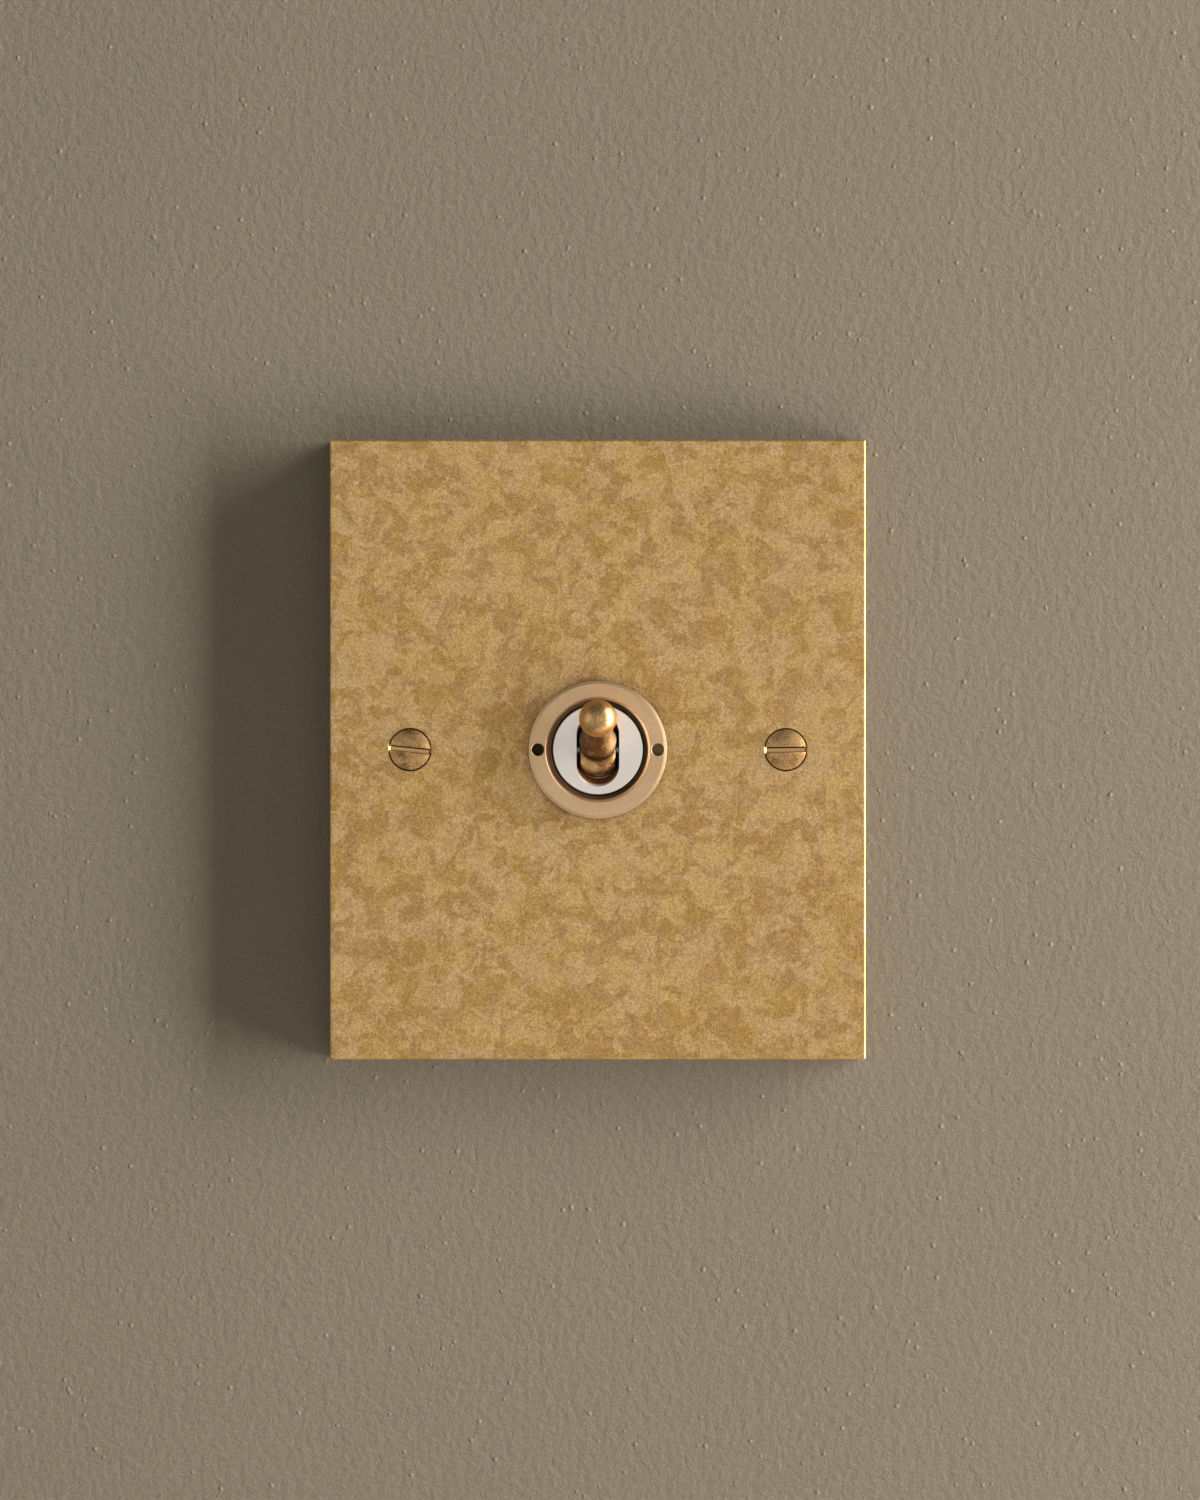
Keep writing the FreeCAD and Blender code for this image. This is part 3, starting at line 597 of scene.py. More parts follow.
class Finishes:
    """The object's finishes, each built once and kept by its record slot."""

    RECIPES = (
        AgedBrass(),
        # Its spanner holes, rim, right bevel and mouth get painted shade.
        Turned(
            "satin_brass", (0.88, 0.61, 0.36), (0.80, 0.54, 0.30), 0.46, grain=0.24,
            grain_size=0.20, painted_shade=(0.05, 0.024, 0.010), shaded_from=-5.52, pit_offset=9.6,
            pit_radius=1.01, shaded_rim_radius=11.1, shaded_mouth_radius=7.95,
        ),
        # Its slot gets painted shade and dark reflections, less a painted highlight line at the
        # lip.
        Turned(
            "pale_nickel", (0.98, 0.91, 0.85), (0.94, 0.86, 0.79), 0.31, grain=0.08,
            ring_depth=0.002, painted_shade=(0.20, 0.095, 0.045), shaded_from=-5.50, lip_highlight_at=-4.36,
            metallic=0.60,
        ),
        AntiqueBrass(),
        Turned("turned_brass", (0.78, 0.55, 0.25), (0.70, 0.48, 0.20), 0.30, grain=0.08),
        PlainMetal("zinc_steel", (0.62, 0.64, 0.66), (0.50, 0.52, 0.55), 0.38),
        PlainMetal("spring_steel", (0.50, 0.49, 0.48), (0.38, 0.37, 0.36), 0.30, 0.8),
        PlainMetal("contact_silver", (0.84, 0.83, 0.80), (0.74, 0.72, 0.68), 0.26, 0.7),
        Moulded("white_nylon", (0.74, 0.72, 0.66), (0.80, 0.79, 0.74), 0.42, 0.8, 0.3),
        Moulded("fibre_sheet", (0.33, 0.17, 0.10), (0.20, 0.09, 0.05), 0.72, 0.35, 0.8),
        Moulded("dark_moulding", (0.045, 0.036, 0.030), (0.11, 0.085, 0.065), 0.40, 0.4, 0.35),
    )

    def __init__(self) -> None:
        """Build every finish."""
        self.made = {recipe.name: recipe.material() for recipe in self.RECIPES}

    def get(self, slot: str) -> bpy.types.Material:
        """Return the material of a record slot."""
        return self.made[slot]


# Meshes, drawn and worked in millimetres


class Outline:
    """Half section of a turned piece: radius along X, depth along Y."""

    def __init__(self, radius: float, y: float) -> None:
        """Start the section at one point."""
        self.bm = bmesh.new()
        self.first = self.last = self.bm.verts.new((radius, y, 0.0))

    def to(self, radius: float, y: float) -> "Outline":
        """Draw a straight line to a point."""
        point = self.bm.verts.new((radius, y, 0.0))
        self.bm.edges.new((self.last, point))
        self.last = point
        return self

    def arc(self, centre_radius: float, centre_y: float, degrees: float, steps: int) -> "Outline":
        """Swing the last point about a centre.

        Args:
            centre_radius: distance of the centre from the axis.
            centre_y: depth of the centre.
            degrees: angle, positive from the radius towards +Y.
            steps: number of chords.

        Returns:
            This outline.
        """
        made = bmesh.ops.spin(
            self.bm, geom=[self.last], cent=(centre_radius, centre_y, 0.0), axis=Z_AXIS,
            angle=math.radians(degrees), steps=steps,
        )
        self.last = next(g for g in made["geom_last"] if isinstance(g, bmesh.types.BMVert))
        return self

    def turn(self, steps: int, close: bool = True) -> "Work":
        """Turn the section about Y into a closed solid.

        Args:
            steps: number of facets round the axis.
            close: join the last point to the first, for a piece with a bore.

        Returns:
            The turned piece.
        """
        if close:
            self.bm.edges.new((self.last, self.first))
        bmesh.ops.spin(
            self.bm, geom=list(self.bm.edges) + list(self.bm.verts), cent=ORIGIN, axis=Y_AXIS,
            angle=math.tau, steps=steps, use_merge=True,
        )
        return Work(self.bm).heal()


class Work:
    """A mesh on the bench."""

    BROKEN_FROM = 20.0  # degrees between the faces of an edge that is broken
    DOUBLES = 1e-4
    HAIRLINE = 1e-5

    def __init__(self, bm: bmesh.types.BMesh | None = None) -> None:
        """Take a mesh, or start an empty one."""
        self.bm = bm or bmesh.new()

    @classmethod
    def coil(cls, section: bmesh.types.BMesh, climb: float, turns: int, steps: int) -> "Work":
        """Wind a closed section about Y and cap its ends.

        Args:
            section: its edges and points, clear of the axis.
            climb: shift along Y in one step.
            turns: whole turns.
            steps: steps of all the turns.

        Returns:
            The coil.
        """
        bmesh.ops.spin(
            section, geom=list(section.edges) + list(section.verts), cent=ORIGIN, axis=Y_AXIS,
            dvec=(0.0, climb, 0.0), angle=math.tau * turns, steps=steps,
        )
        bmesh.ops.holes_fill(section, edges=[e for e in section.edges if e.is_boundary])
        return cls(section).heal()

    @classmethod
    def block(cls, low: Point, high: Point) -> "Work":
        """Return a block between two corners."""
        work = cls()
        size = Vector(high) - Vector(low)
        middle = (Vector(high) + Vector(low)) / 2
        bmesh.ops.create_cube(
            work.bm, size=1.0, matrix=Matrix.Translation(middle) @ Matrix.Diagonal((*size, 1.0))
        )
        return work

    @classmethod
    def rod(cls, radius: float, start: Point, end: Point, facets: int = 48) -> "Work":
        """Return a cylinder between two points."""
        work = cls()
        axis = Vector(end) - Vector(start)
        turn = Vector(Z_AXIS).rotation_difference(axis).to_matrix().to_4x4()
        middle = Matrix.Translation((Vector(start) + Vector(end)) / 2)
        bmesh.ops.create_cone(
            work.bm, cap_ends=True, segments=facets, radius1=radius, radius2=radius,
            depth=axis.length, matrix=middle @ turn,
        )
        return work

    @classmethod
    def ball(cls, radius: float, centre: Point, facets: int = 96) -> "Work":
        """Return a ball whose poles lie on Y."""
        work = cls()
        turn = Matrix.Rotation(math.radians(90), 4, "X")
        bmesh.ops.create_uvsphere(
            work.bm, u_segments=facets, v_segments=facets // 2, radius=radius,
            matrix=Matrix.Translation(centre) @ turn,
        )
        return work

    def heal(self) -> "Work":
        """Merge doubles, drop what has no area and point the faces outwards."""
        bmesh.ops.remove_doubles(self.bm, verts=self.bm.verts, dist=self.DOUBLES)
        bmesh.ops.dissolve_degenerate(self.bm, edges=self.bm.edges, dist=self.HAIRLINE)
        bmesh.ops.recalc_face_normals(self.bm, faces=self.bm.faces)
        return self

    def slice(self, point: Point, normal: Point) -> "Work":
        """Cut off what lies beyond a plane and close the cut."""
        everything = list(self.bm.verts) + list(self.bm.edges) + list(self.bm.faces)
        made = bmesh.ops.bisect_plane(
            self.bm, geom=everything, plane_co=point, plane_no=normal, clear_outer=True
        )
        rim = [g for g in made["geom_cut"] if isinstance(g, bmesh.types.BMEdge)]
        bmesh.ops.contextual_create(self.bm, geom=rim)
        return self.heal()

    def bevel(self, edges: list[bmesh.types.BMEdge], offset: float, segments: int) -> None:
        """Round some edges by an offset in a number of facets."""
        bmesh.ops.bevel(
            self.bm, geom=edges, offset=offset, offset_type="OFFSET", segments=segments,
            profile=0.5, affect="EDGES", clamp_overlap=True, material=-1,
        )

    def break_edges(self, offset: float) -> None:
        """Round every clear edge of the piece a little."""
        limit = math.radians(self.BROKEN_FROM)
        pairs = [e for e in self.bm.edges if len(e.link_faces) == 2]
        self.bevel([e for e in pairs if e.calc_face_angle(0.0) > limit], offset, 2)

    def move(self, shift: Point) -> "Work":
        """Shift the whole piece."""
        bmesh.ops.translate(self.bm, verts=self.bm.verts, vec=shift)
        return self

    def rotate(self, degrees: float, axis: str) -> "Work":
        """Turn the whole piece about the origin."""
        turn = Matrix.Rotation(math.radians(degrees), 3, axis)
        bmesh.ops.rotate(self.bm, verts=self.bm.verts, cent=ORIGIN, matrix=turn)
        return self

    def take(self, other: "Work") -> "Work":
        """Add another mesh's shells beside this one's."""
        mesh = other.mesh("taken")
        self.bm.from_mesh(mesh)
        bpy.data.meshes.remove(mesh)
        return self

    def mesh(self, name: str) -> bpy.types.Mesh:
        """Return the work as a mesh datablock."""
        mesh = bpy.data.meshes.new(name)
        self.bm.to_mesh(mesh)
        return mesh

    def carve(self, tool: "Work", join: Join = Join.CUT) -> "Work":
        """Combine the piece with a tool's shape.

        Args:
            tool: closed mesh that cuts or joins.
            join: which of the two.

        Returns:
            This piece.
        """
        pair = [stand(name, work.mesh(name)) for name, work in (("work", self), ("tool", tool))]
        carver = pair[0].modifiers.new("carve", "BOOLEAN")
        carver.operation = join.value
        carver.solver = "EXACT"
        carver.object = pair[1]
        bpy.context.view_layer.update()
        ready = pair[0].evaluated_get(bpy.context.evaluated_depsgraph_get())
        result = bpy.data.meshes.new_from_object(ready)
        self.bm.clear()
        self.bm.from_mesh(result)
        bpy.data.meshes.remove(result)
        for item in pair:
            bpy.data.meshes.remove(item.data)
        return self

    def deliver(
        self, name: str, body: Body | None, slot: str, finishes: Finishes, *nodes: str,
        sharp: float = 32.0,
    ) -> bpy.types.Object:
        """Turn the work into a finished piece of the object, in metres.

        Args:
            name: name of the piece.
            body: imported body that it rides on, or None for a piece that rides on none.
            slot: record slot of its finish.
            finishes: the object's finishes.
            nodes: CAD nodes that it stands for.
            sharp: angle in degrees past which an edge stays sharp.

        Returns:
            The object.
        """
        bmesh.ops.scale(self.bm, vec=(MM, MM, MM), verts=self.bm.verts)
        for face in self.bm.faces:
            face.smooth = True
        mesh = self.mesh(name)
        mesh.set_sharp_from_angle(angle=math.radians(sharp))
        piece = stand(name, mesh)
        weigh = piece.modifiers.new("flat_faces_stay_flat", "WEIGHTED_NORMAL")
        weigh.keep_sharp = True
        weigh.weight = 100
        bpy.context.view_layer.update()
        ready = piece.evaluated_get(bpy.context.evaluated_depsgraph_get())
        piece.data = bpy.data.meshes.new_from_object(ready)
        piece.modifiers.clear()
        piece.data.name = name
        piece.data.materials.append(finishes.get(slot))
        if body:
            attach(piece, body.value)
        if nodes:
            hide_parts(*nodes)
        LOG.info("%s: %d faces", name, len(piece.data.polygons))
        return piece


# The object's sub-assemblies


@dataclass
class FacePlate:
    """Thick brass plate with softened edges, barrel hole and countersinks."""

    width: float = 86.0
    height: float = 99.5
    thickness: float = 4.0
    edge_round: float = 0.4
    barrel_hole: float = 7.625
    fixing_centres: float = 60.3
    countersink: float = 3.45
    screw_hole: float = 1.95
    rim_break: float = 0.06
    earth_seat: Point = (-19.0, 0.0, -22.0)
    earth_seat_radius: float = 1.51
    earth_seat_depth: float = 2.0
    round_steps: int = 5
    facets: int = 96

    def build(self, finishes: Finishes) -> bpy.types.Object:
        """Mill the plate and dress it."""
        half_x, half_z, face = self.width / 2, self.height / 2, -self.thickness
        plate = Work.block((-half_x, face, -half_z), (half_x, 0.0, half_z))
        front = [e for e in plate.bm.edges if any(v.co.y < face / 2 for v in e.verts)]
        plate.bevel(front, self.edge_round, self.round_steps)
        plate.carve(self._drill(self.barrel_hole, self.barrel_hole))
        for side in (-1, 1):
            sink = self._drill(self.countersink, self.screw_hole)
            plate.carve(sink.move((side * self.fixing_centres / 2, 0.0, 0.0)))
        x, y, z = self.earth_seat
        bottom, above = (x, y - self.earth_seat_depth, z), (x, y + OVER, z)
        plate.carve(Work.rod(self.earth_seat_radius, bottom, above))
        return plate.deliver("brass_plate", Body.CASE, "aged_brass", finishes, "face_plate")

    def _drill(self, mouth: float, hole: float) -> Work:
        """Return the tool for a hole through the plate, coned from its mouth to its bore."""
        face, wide = -self.thickness, mouth + self.rim_break
        tool = Outline(0.0, face - OVER).to(wide, face - OVER)
        tool.to(wide, face).to(mouth, face + self.rim_break)
        if mouth > hole:
            tool.to(hole, face + mouth - hole)
        return tool.to(hole, OVER).to(0.0, OVER).turn(self.facets, close=False)


@dataclass
class FixingScrews:
    """Two raised countersunk screws with slots and rolled threads."""

    centres: float = 60.3
    rim: float = -3.82
    land: float = 0.15
    dome: float = 0.75
    head_radius: float = 3.25
    neck_radius: float = 1.55
    core_radius: float = 1.42
    crest_radius: float = 1.75
    length: float = 19.8
    point: float = 0.7
    pitch: float = 0.6
    slot_width: float = 0.9
    slot_depth: float = 1.1
    slot_reach: float = 4.0
    slot_turns: Pair = (6.0, -1.0)
    dome_steps: int = 10
    facets: int = 96
    ridge_sink: float = 0.04
    ridge_start: float = 0.02
    crest_share: float = 0.45
    ridge_share: float = 0.88
    turn_steps: int = 28

    def build(self, finishes: Finishes) -> bpy.types.Object:
        """Turn both screws as one piece."""
        left, right = (
            self._screw(turn).move((side * self.centres / 2, 0.0, 0.0))
            for side, turn in zip((-1, 1), self.slot_turns)
        )
        return left.take(right).deliver(
            "slotted_screws", Body.CASE, "antique_brass", finishes, "fixing_screws", sharp=38.0
        )

    def _screw(self, turn: float) -> Work:
        """Return one screw about the origin, its slot turned clockwise."""
        foot = self.rim - self.land
        apex = foot - self.dome
        dome_radius = (self.head_radius ** 2 + self.dome ** 2) / (2 * self.dome)
        sweep = math.degrees(math.asin(self.head_radius / dome_radius))
        tip = self.rim + self.length
        screw = Outline(0.0, apex).arc(0.0, apex + dome_radius, sweep, self.dome_steps)
        screw.to(self.head_radius, self.rim)
        screw.to(self.neck_radius, self.rim + self.head_radius - self.neck_radius)
        screw.to(self.neck_radius, 0.0).to(self.core_radius, 0.0)
        screw.to(self.core_radius, tip - self.point)
        screw.to(self.core_radius - self.point, tip).to(0.0, tip)
        body = screw.turn(self.facets, close=False)
        half, reach = self.slot_width / 2, self.slot_reach
        slot = Work.block((-reach, apex - OVER, -half), (reach, apex + self.slot_depth, half))
        body.carve(slot.rotate(turn, "Y"))
        return body.take(self._thread(tip))

    def _thread(self, tip: float) -> Work:
        """Return the thread's ridge, wound from the plate's back to the point."""
        ridge = bmesh.new()
        inside = self.core_radius - self.ridge_sink
        corners = [
            (inside, self.ridge_start), (self.crest_radius, self.pitch * self.crest_share),
            (inside, self.pitch * self.ridge_share),
        ]
        points = [ridge.verts.new((r, y, 0.0)) for r, y in corners]
        for start, end in zip(points, points[1:] + points[:1]):
            ridge.edges.new((start, end))
        turns = int((tip - self.point) / self.pitch) - 1
        return Work.coil(ridge, self.pitch / self.turn_steps, turns, self.turn_steps * turns)


@dataclass
class BezelRing:
    """Ring nut with bevelled rim and mouth, a thread bore and two blind spanner holes."""

    face: float = -5.5
    seat: float = -4.0
    radius: float = 11.1
    bore: float = 7.525
    outer_bevel: float = 0.55
    outer_bevel_depth: float = 0.25
    inner_bevel_radius: float = 8.45
    inner_bevel_depth: float = 0.75
    mouth: float = 7.65
    mouth_depth: float = 1.1
    hole_offset: float = 9.6
    hole_radius: float = 1.0
    hole_depth: float = 0.75
    point_depth: float = 0.6
    edge_break: float = 0.05
    rim_break: float = 0.05
    facets: int = 192
    hole_facets: int = 48

    def build(self, finishes: Finishes) -> bpy.types.Object:
        """Turn and drill the ring."""
        section = Outline(self.bore, self.seat).to(self.radius, self.seat)
        section.to(self.radius, self.face + self.outer_bevel_depth)
        section.to(self.radius - self.outer_bevel, self.face)
        section.to(self.inner_bevel_radius, self.face)
        section.to(self.mouth, self.face + self.inner_bevel_depth)
        section.to(self.mouth, self.face + self.mouth_depth)
        ring = section.to(self.bore, self.face + self.mouth_depth).turn(self.facets)
        ring.break_edges(self.edge_break)
        for side in (-1, 1):
            ring.carve(self._drill().move((side * self.hole_offset, 0.0, 0.0)))
        return ring.deliver(
            "bezel_ring_nut", Body.CASE, "satin_brass", finishes, "bezel_ring", sharp=12.0
        )

    def _drill(self) -> Work:
        """Return the drill's shape with a broken rim and a pointed bottom."""
        wide, deep = self.hole_radius + self.rim_break, self.face + self.hole_depth
        drill = Outline(0.0, self.face - OVER).to(wide, self.face - OVER).to(wide, self.face)
        drill.to(self.hole_radius, self.face + self.rim_break).to(self.hole_radius, deep)
        return drill.to(0.0, deep + self.point_depth).turn(self.hole_facets, close=False)


@dataclass
class Barrel:
    """Pale slotted bush with a ball seat, a rear flange and a staked spigot."""

    face: float = -5.6
    radius: float = 7.475
    front_radius: float = 7.15
    front_depth: float = 1.2
    flange_front: float = 4.0
    flange_rear: float = 5.2
    flange_radius: float = 9.5
    spigot_radius: float = 8.0
    frame_rear: float = 6.2
    slot_width: float = 6.85
    slot_half_length: float = 5.9
    slot_end_depth: float = 1.3
    slot_end_slope: float = 42.0
    pivot_y: float = -1.3
    seat_radius: float = 5.35
    rear_bore: float = 5.7
    pin_hole: float = 1.01
    edge_break: float = 0.07
    pin_reach: float = 9.0
    slot_lead: float = 0.3
    slot_facets: int = 64
    facets: int = 160
    bore_facets: int = 96

    def build(self, finishes: Finishes) -> bpy.types.Object:
        """Turn the bush and cut its slot, seat, bore and pin hole."""
        neck = self.face + self.front_depth
        section = Outline(0.0, self.face).to(self.front_radius, self.face)
        section.to(self.front_radius, neck).to(self.radius, neck + self.radius - self.front_radius)
        section.to(self.radius, self.flange_front).to(self.flange_radius, self.flange_front)
        section.to(self.flange_radius, self.flange_rear).to(self.spigot_radius, self.flange_rear)
        section.to(self.spigot_radius, self.frame_rear)
        barrel = section.to(0.0, self.frame_rear).turn(self.facets, close=False)
        barrel.break_edges(self.edge_break)
        pivot = (0.0, self.pivot_y, 0.0)
        seat = Work.ball(self.seat_radius, pivot)
        for side in (1, -1):
            seat.slice((side * self.slot_width / 2, 0.0, 0.0), (side, 0.0, 0.0))
        barrel.carve(self._slot())
        barrel.carve(seat)
        rear = (0.0, self.frame_rear + OVER, 0.0)
        barrel.carve(Work.rod(self.rear_bore, pivot, rear, self.bore_facets))
        ends = ((side * self.pin_reach, self.pivot_y, 0.0) for side in (-1, 1))
        barrel.carve(Work.rod(self.pin_hole, *ends))
        return barrel.deliver(
            "slotted_barrel", Body.CASE, "pale_nickel", finishes, "barrel", sharp=20.0
        )

    def _slot(self) -> Work:
        """Return the slot's mouth: full-radius ends that slope in towards the ball seat."""
        work = Work()
        half, lead = self.slot_width / 2, self.slot_lead
        turn = Matrix.Rotation(math.radians(90), 4, "X")
        bmesh.ops.create_circle(
            work.bm, cap_ends=True, segments=self.slot_facets, radius=half, matrix=turn
        )
        slope = math.tan(math.radians(self.slot_end_slope))
        reach, depth = self.slot_half_length - half + lead / slope, lead + self.slot_end_depth
        self._shift_ends(work, work.bm.verts, reach)
        work.move((0.0, self.face - lead, 0.0))
        grown = bmesh.ops.extrude_face_region(work.bm, geom=list(work.bm.faces))
        deep = [g for g in grown["geom"] if isinstance(g, bmesh.types.BMVert)]
        bmesh.ops.translate(work.bm, verts=deep, vec=(0.0, depth, 0.0))
        self._shift_ends(work, deep, -depth / slope)
        return work.heal()

    @staticmethod
    def _shift_ends(work: Work, points: list[bmesh.types.BMVert], shift: float) -> None:
        """Shift the points above the middle up, and those below it down."""
        for side in (-1, 1):
            end = [v for v in points if v.co.z * side > Work.HAIRLINE]
            bmesh.ops.translate(work.bm, verts=end, vec=(0.0, 0.0, side * shift))


@dataclass
class DollyLever:
    """Turned lever with ball tip, bell skirt, flat-sided ball hub and bored tail."""

    pivot_y: float = -1.3
    tilt: float = 17.0
    hub_radius: float = 5.2
    hub_width: float = 5.74
    hub_round: float = 0.5
    skirt_radius: float = 2.65
    bell_radius: float = 2.95
    bell_start: float = 5.35
    bell_land: float = 0.25
    waist_radius: float = 2.1
    waist: float = 8.0
    neck_radius: float = 1.75
    neck_start: float = 12.2
    tip_radius: float = 2.95
    tip_centre: float = 16.8
    tail_radius: float = 2.5
    tail_end: float = 10.5
    tail_chamfer: float = 0.3
    spring_bore: float = 1.7
    spring_bore_bottom: float = 3.5
    pin_hole: float = 1.05
    pin_reach: float = 5.0
    bore_reach: float = 12.0
    bell_break: float = 0.05
    facets: int = 112

    def build(self, finishes: Finishes) -> bpy.types.Object:
        """Turn the lever and set it at its raised rest place."""
        lever = self._stem()
        lever.carve(self._hub(), Join.ADD)
        bottom, end = (0.0, self.spring_bore_bottom, 0.0), (0.0, self.bore_reach, 0.0)
        lever.carve(Work.rod(self.spring_bore, bottom, end))
        ends = ((side * self.pin_reach, 0.0, 0.0) for side in (-1, 1))
        lever.carve(Work.rod(self.pin_hole, *ends))
        lever.rotate(-self.tilt, "X").move((0.0, self.pivot_y, 0.0))
        return lever.deliver(
            "dolly_stem", Body.DOLLY, "antique_brass", finishes, "dolly", sharp=40.0
        )

    def _hub(self) -> Work:
        """Return the hub: a ball with two flats across the pivot's axis, their rims rounded."""
        half, soft = self.hub_width / 2, self.hub_round
        rim = math.sqrt((self.hub_radius - soft) ** 2 - (half - soft) ** 2)
        rise = math.degrees(math.atan2(half - soft, rim))
        hub = Outline(0.0, half).to(rim, half).arc(rim, half - soft, rise - 90.0, 6)
        hub.arc(0.0, 0.0, -2 * rise, 24).arc(rim, soft - half, rise - 90.0, 6).to(0.0, -half)
        return hub.turn(self.facets, close=False).rotate(90.0, "Z")

    def _stem(self) -> Work:
        """Return the turned stem about the pivot, its front towards -Y."""
        joint = math.asin(self.neck_radius / self.tip_radius)
        land = self.bell_land - self.bell_start
        stem = Outline(0.0, self.tail_end).to(self.tail_radius - self.tail_chamfer, self.tail_end)
        stem.to(self.tail_radius, self.tail_end - self.tail_chamfer).to(self.tail_radius, 0.0)
        stem.to(self.skirt_radius, 0.0).to(self.skirt_radius, land)
        stem.to(self.bell_radius - self.bell_break, land)
        stem.to(self.bell_radius, land - self.bell_break)
        stem.to(self.bell_radius, -self.bell_start)
        self._bell(stem)
        stem.to(self.neck_radius, -self.tip_centre + self.tip_radius * math.cos(joint))
        stem.arc(0.0, -self.tip_centre, math.degrees(joint) - 180.0, 30)
        return stem.turn(self.facets, close=False)

    def _bell(self, stem: Outline) -> None:
        """Sweep the bell's hollow flare, a circle through its edge, its waist and the neck."""
        points = [
            (self.bell_radius, -self.bell_start), (self.waist_radius, -self.waist),
            (self.neck_radius, -self.neck_start),
        ]
        (ax, ay), (bx, by), (cx, cy) = points
        twice = 2 * (ax * (by - cy) + bx * (cy - ay) + cx * (ay - by))
        squares = [x * x + y * y for x, y in points]
        x = (squares[0] * (by - cy) + squares[1] * (cy - ay) + squares[2] * (ay - by)) / twice
        y = (squares[0] * (cx - bx) + squares[1] * (ax - cx) + squares[2] * (bx - ax)) / twice
        start = math.atan2(ay - y, ax - x)
        end = math.atan2(cy - y, cx - x)
        sweep = math.degrees((end - start + math.pi) % math.tau - math.pi)
        stem.arc(x, y, sweep, 16)


@dataclass
class PlungerSpring:
    """Coil spring in the dolly's tail."""

    pivot_y: float = -1.3
    tilt: float = 17.0
    front: float = 3.5
    rear: float = 6.6
    coil_radius: float = 1.32
    wire_radius: float = 0.175
    turns: int = 4
    steps: int = 28
    wire_facets: int = 12

    def build(self, finishes: Finishes) -> bpy.types.Object:
        """Wind the spring and set it between the lever and the plunger."""
        wire = bmesh.new()
        start = Matrix.Translation((self.coil_radius, self.front + self.wire_radius, 0.0))
        bmesh.ops.create_circle(
            wire, cap_ends=False, segments=self.wire_facets, radius=self.wire_radius, matrix=start
        )
        length = self.rear - self.front - 2 * self.wire_radius
        steps = self.steps * self.turns
        coil = Work.coil(wire, length / steps, self.turns, steps)
        coil.rotate(-self.tilt, "X").move((0.0, self.pivot_y, 0.0))
        spring = coil.deliver(
            "coil_spring", None, "spring_steel", finishes, "plunger_spring", sharp=50.0
        )
        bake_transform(spring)
        return spring


@dataclass
class Mechanism:
    """The switch behind the plate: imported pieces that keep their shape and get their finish."""

    slots: tuple[tuple[str, str], ...] = (
        ("lock_washer", "zinc_steel"), ("back_nut", "turned_brass"), ("pivot_pin", "zinc_steel"),
        ("plunger", "white_nylon"), ("frame_plate", "zinc_steel"),
        ("insulator_sheet", "fibre_sheet"), ("housing", "dark_moulding"),
        ("inner_moulding", "dark_moulding"), ("rocker", "turned_brass"),
        ("rocker_contacts", "contact_silver"), ("fixed_contacts", "contact_silver"),
        ("common_terminal", "turned_brass"), ("lower_way_terminal", "turned_brass"),
        ("upper_way_terminal", "turned_brass"), ("terminal_screws", "zinc_steel"),
        ("earth_post", "turned_brass"), ("earth_screw", "zinc_steel"),
    )

    def dress(self, finishes: Finishes) -> None:
        """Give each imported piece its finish."""
        for node, slot in self.slots:
            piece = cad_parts[node]
            if not piece.material_slots:
                piece.data.materials.append(None)
            for place in piece.material_slots:
                place.link = "OBJECT"
                place.material = finishes.get(slot)
            LOG.info("%s: %s", node, slot)


# Wall, floor, lamps and camera


@dataclass(frozen=True)
class WallPaint:
    """Eggshell paint with a faint roller texture, like smoked glass from behind."""

    colour: Colour = (0.555, 0.475, 0.357)
    roughness: float = 0.62
    specular: float = 0.25
    roller_size: float = 1.3
    broad_size: float = 60.0
    stipple_size: float = 0.20
    speck_density: float = 0.30
    relief: float = 0.08
    from_behind: Colour = (0.32, 0.32, 0.32)
    clear: Colour = (1.0, 1.0, 1.0)

    def material(self) -> bpy.types.Material:
        """Build the finish."""
        bench = Bench("wall_paint")
        where = bench.place()
        roller = bench.noise(where, self.roller_size, 3.0, 0.3)
        broad = bench.noise(where, self.broad_size, 2.0)
        stipple = bench.noise(where, self.stipple_size, 1.5)
        specks = bench.node(
            "ShaderNodeTexVoronoi", {"feature": "F1"}, where, Scale=self.speck_density,
            out="Distance",
        )
        tone = 0.57 + broad * 0.06 + stipple * 0.8 + specks.rise(0.10, 0.04) * 0.2
        height = roller + stipple * 0.40 + specks.rise(0.14, 0.05) * 0.6
        normal = bench.bump(height, self.relief)
        colour = bench.shade(self.colour, tone)
        paint = bench.gloss(colour, 0.0, self.roughness, normal, self.specular)
        behind = bench.node("ShaderNodeNewGeometry", {}, out="Backfacing")
        looked_at = bench.node("ShaderNodeLightPath", {}, out="Is Camera Ray")
        tint = bench.blend(looked_at, self.from_behind, self.clear)
        clear = bench.node("ShaderNodeBsdfTransparent", {}, tint)
        return bench.finish(bench.node("ShaderNodeMixShader", {}, behind, paint, clear))


@dataclass(frozen=True)
class FloorPaint:
    """Plain pale floor."""

    colour: Colour = (0.78, 0.76, 0.72)
    roughness: float = 0.7

    def material(self) -> bpy.types.Material:
        """Build the finish."""
        bench = Bench("floor_paint")
        tone = bench.noise(bench.place(), 80.0, 2.0)
        colour = bench.shade(self.colour, 0.97 + tone * 0.06)
        return bench.finish(bench.gloss(colour, 0.0, self.roughness))


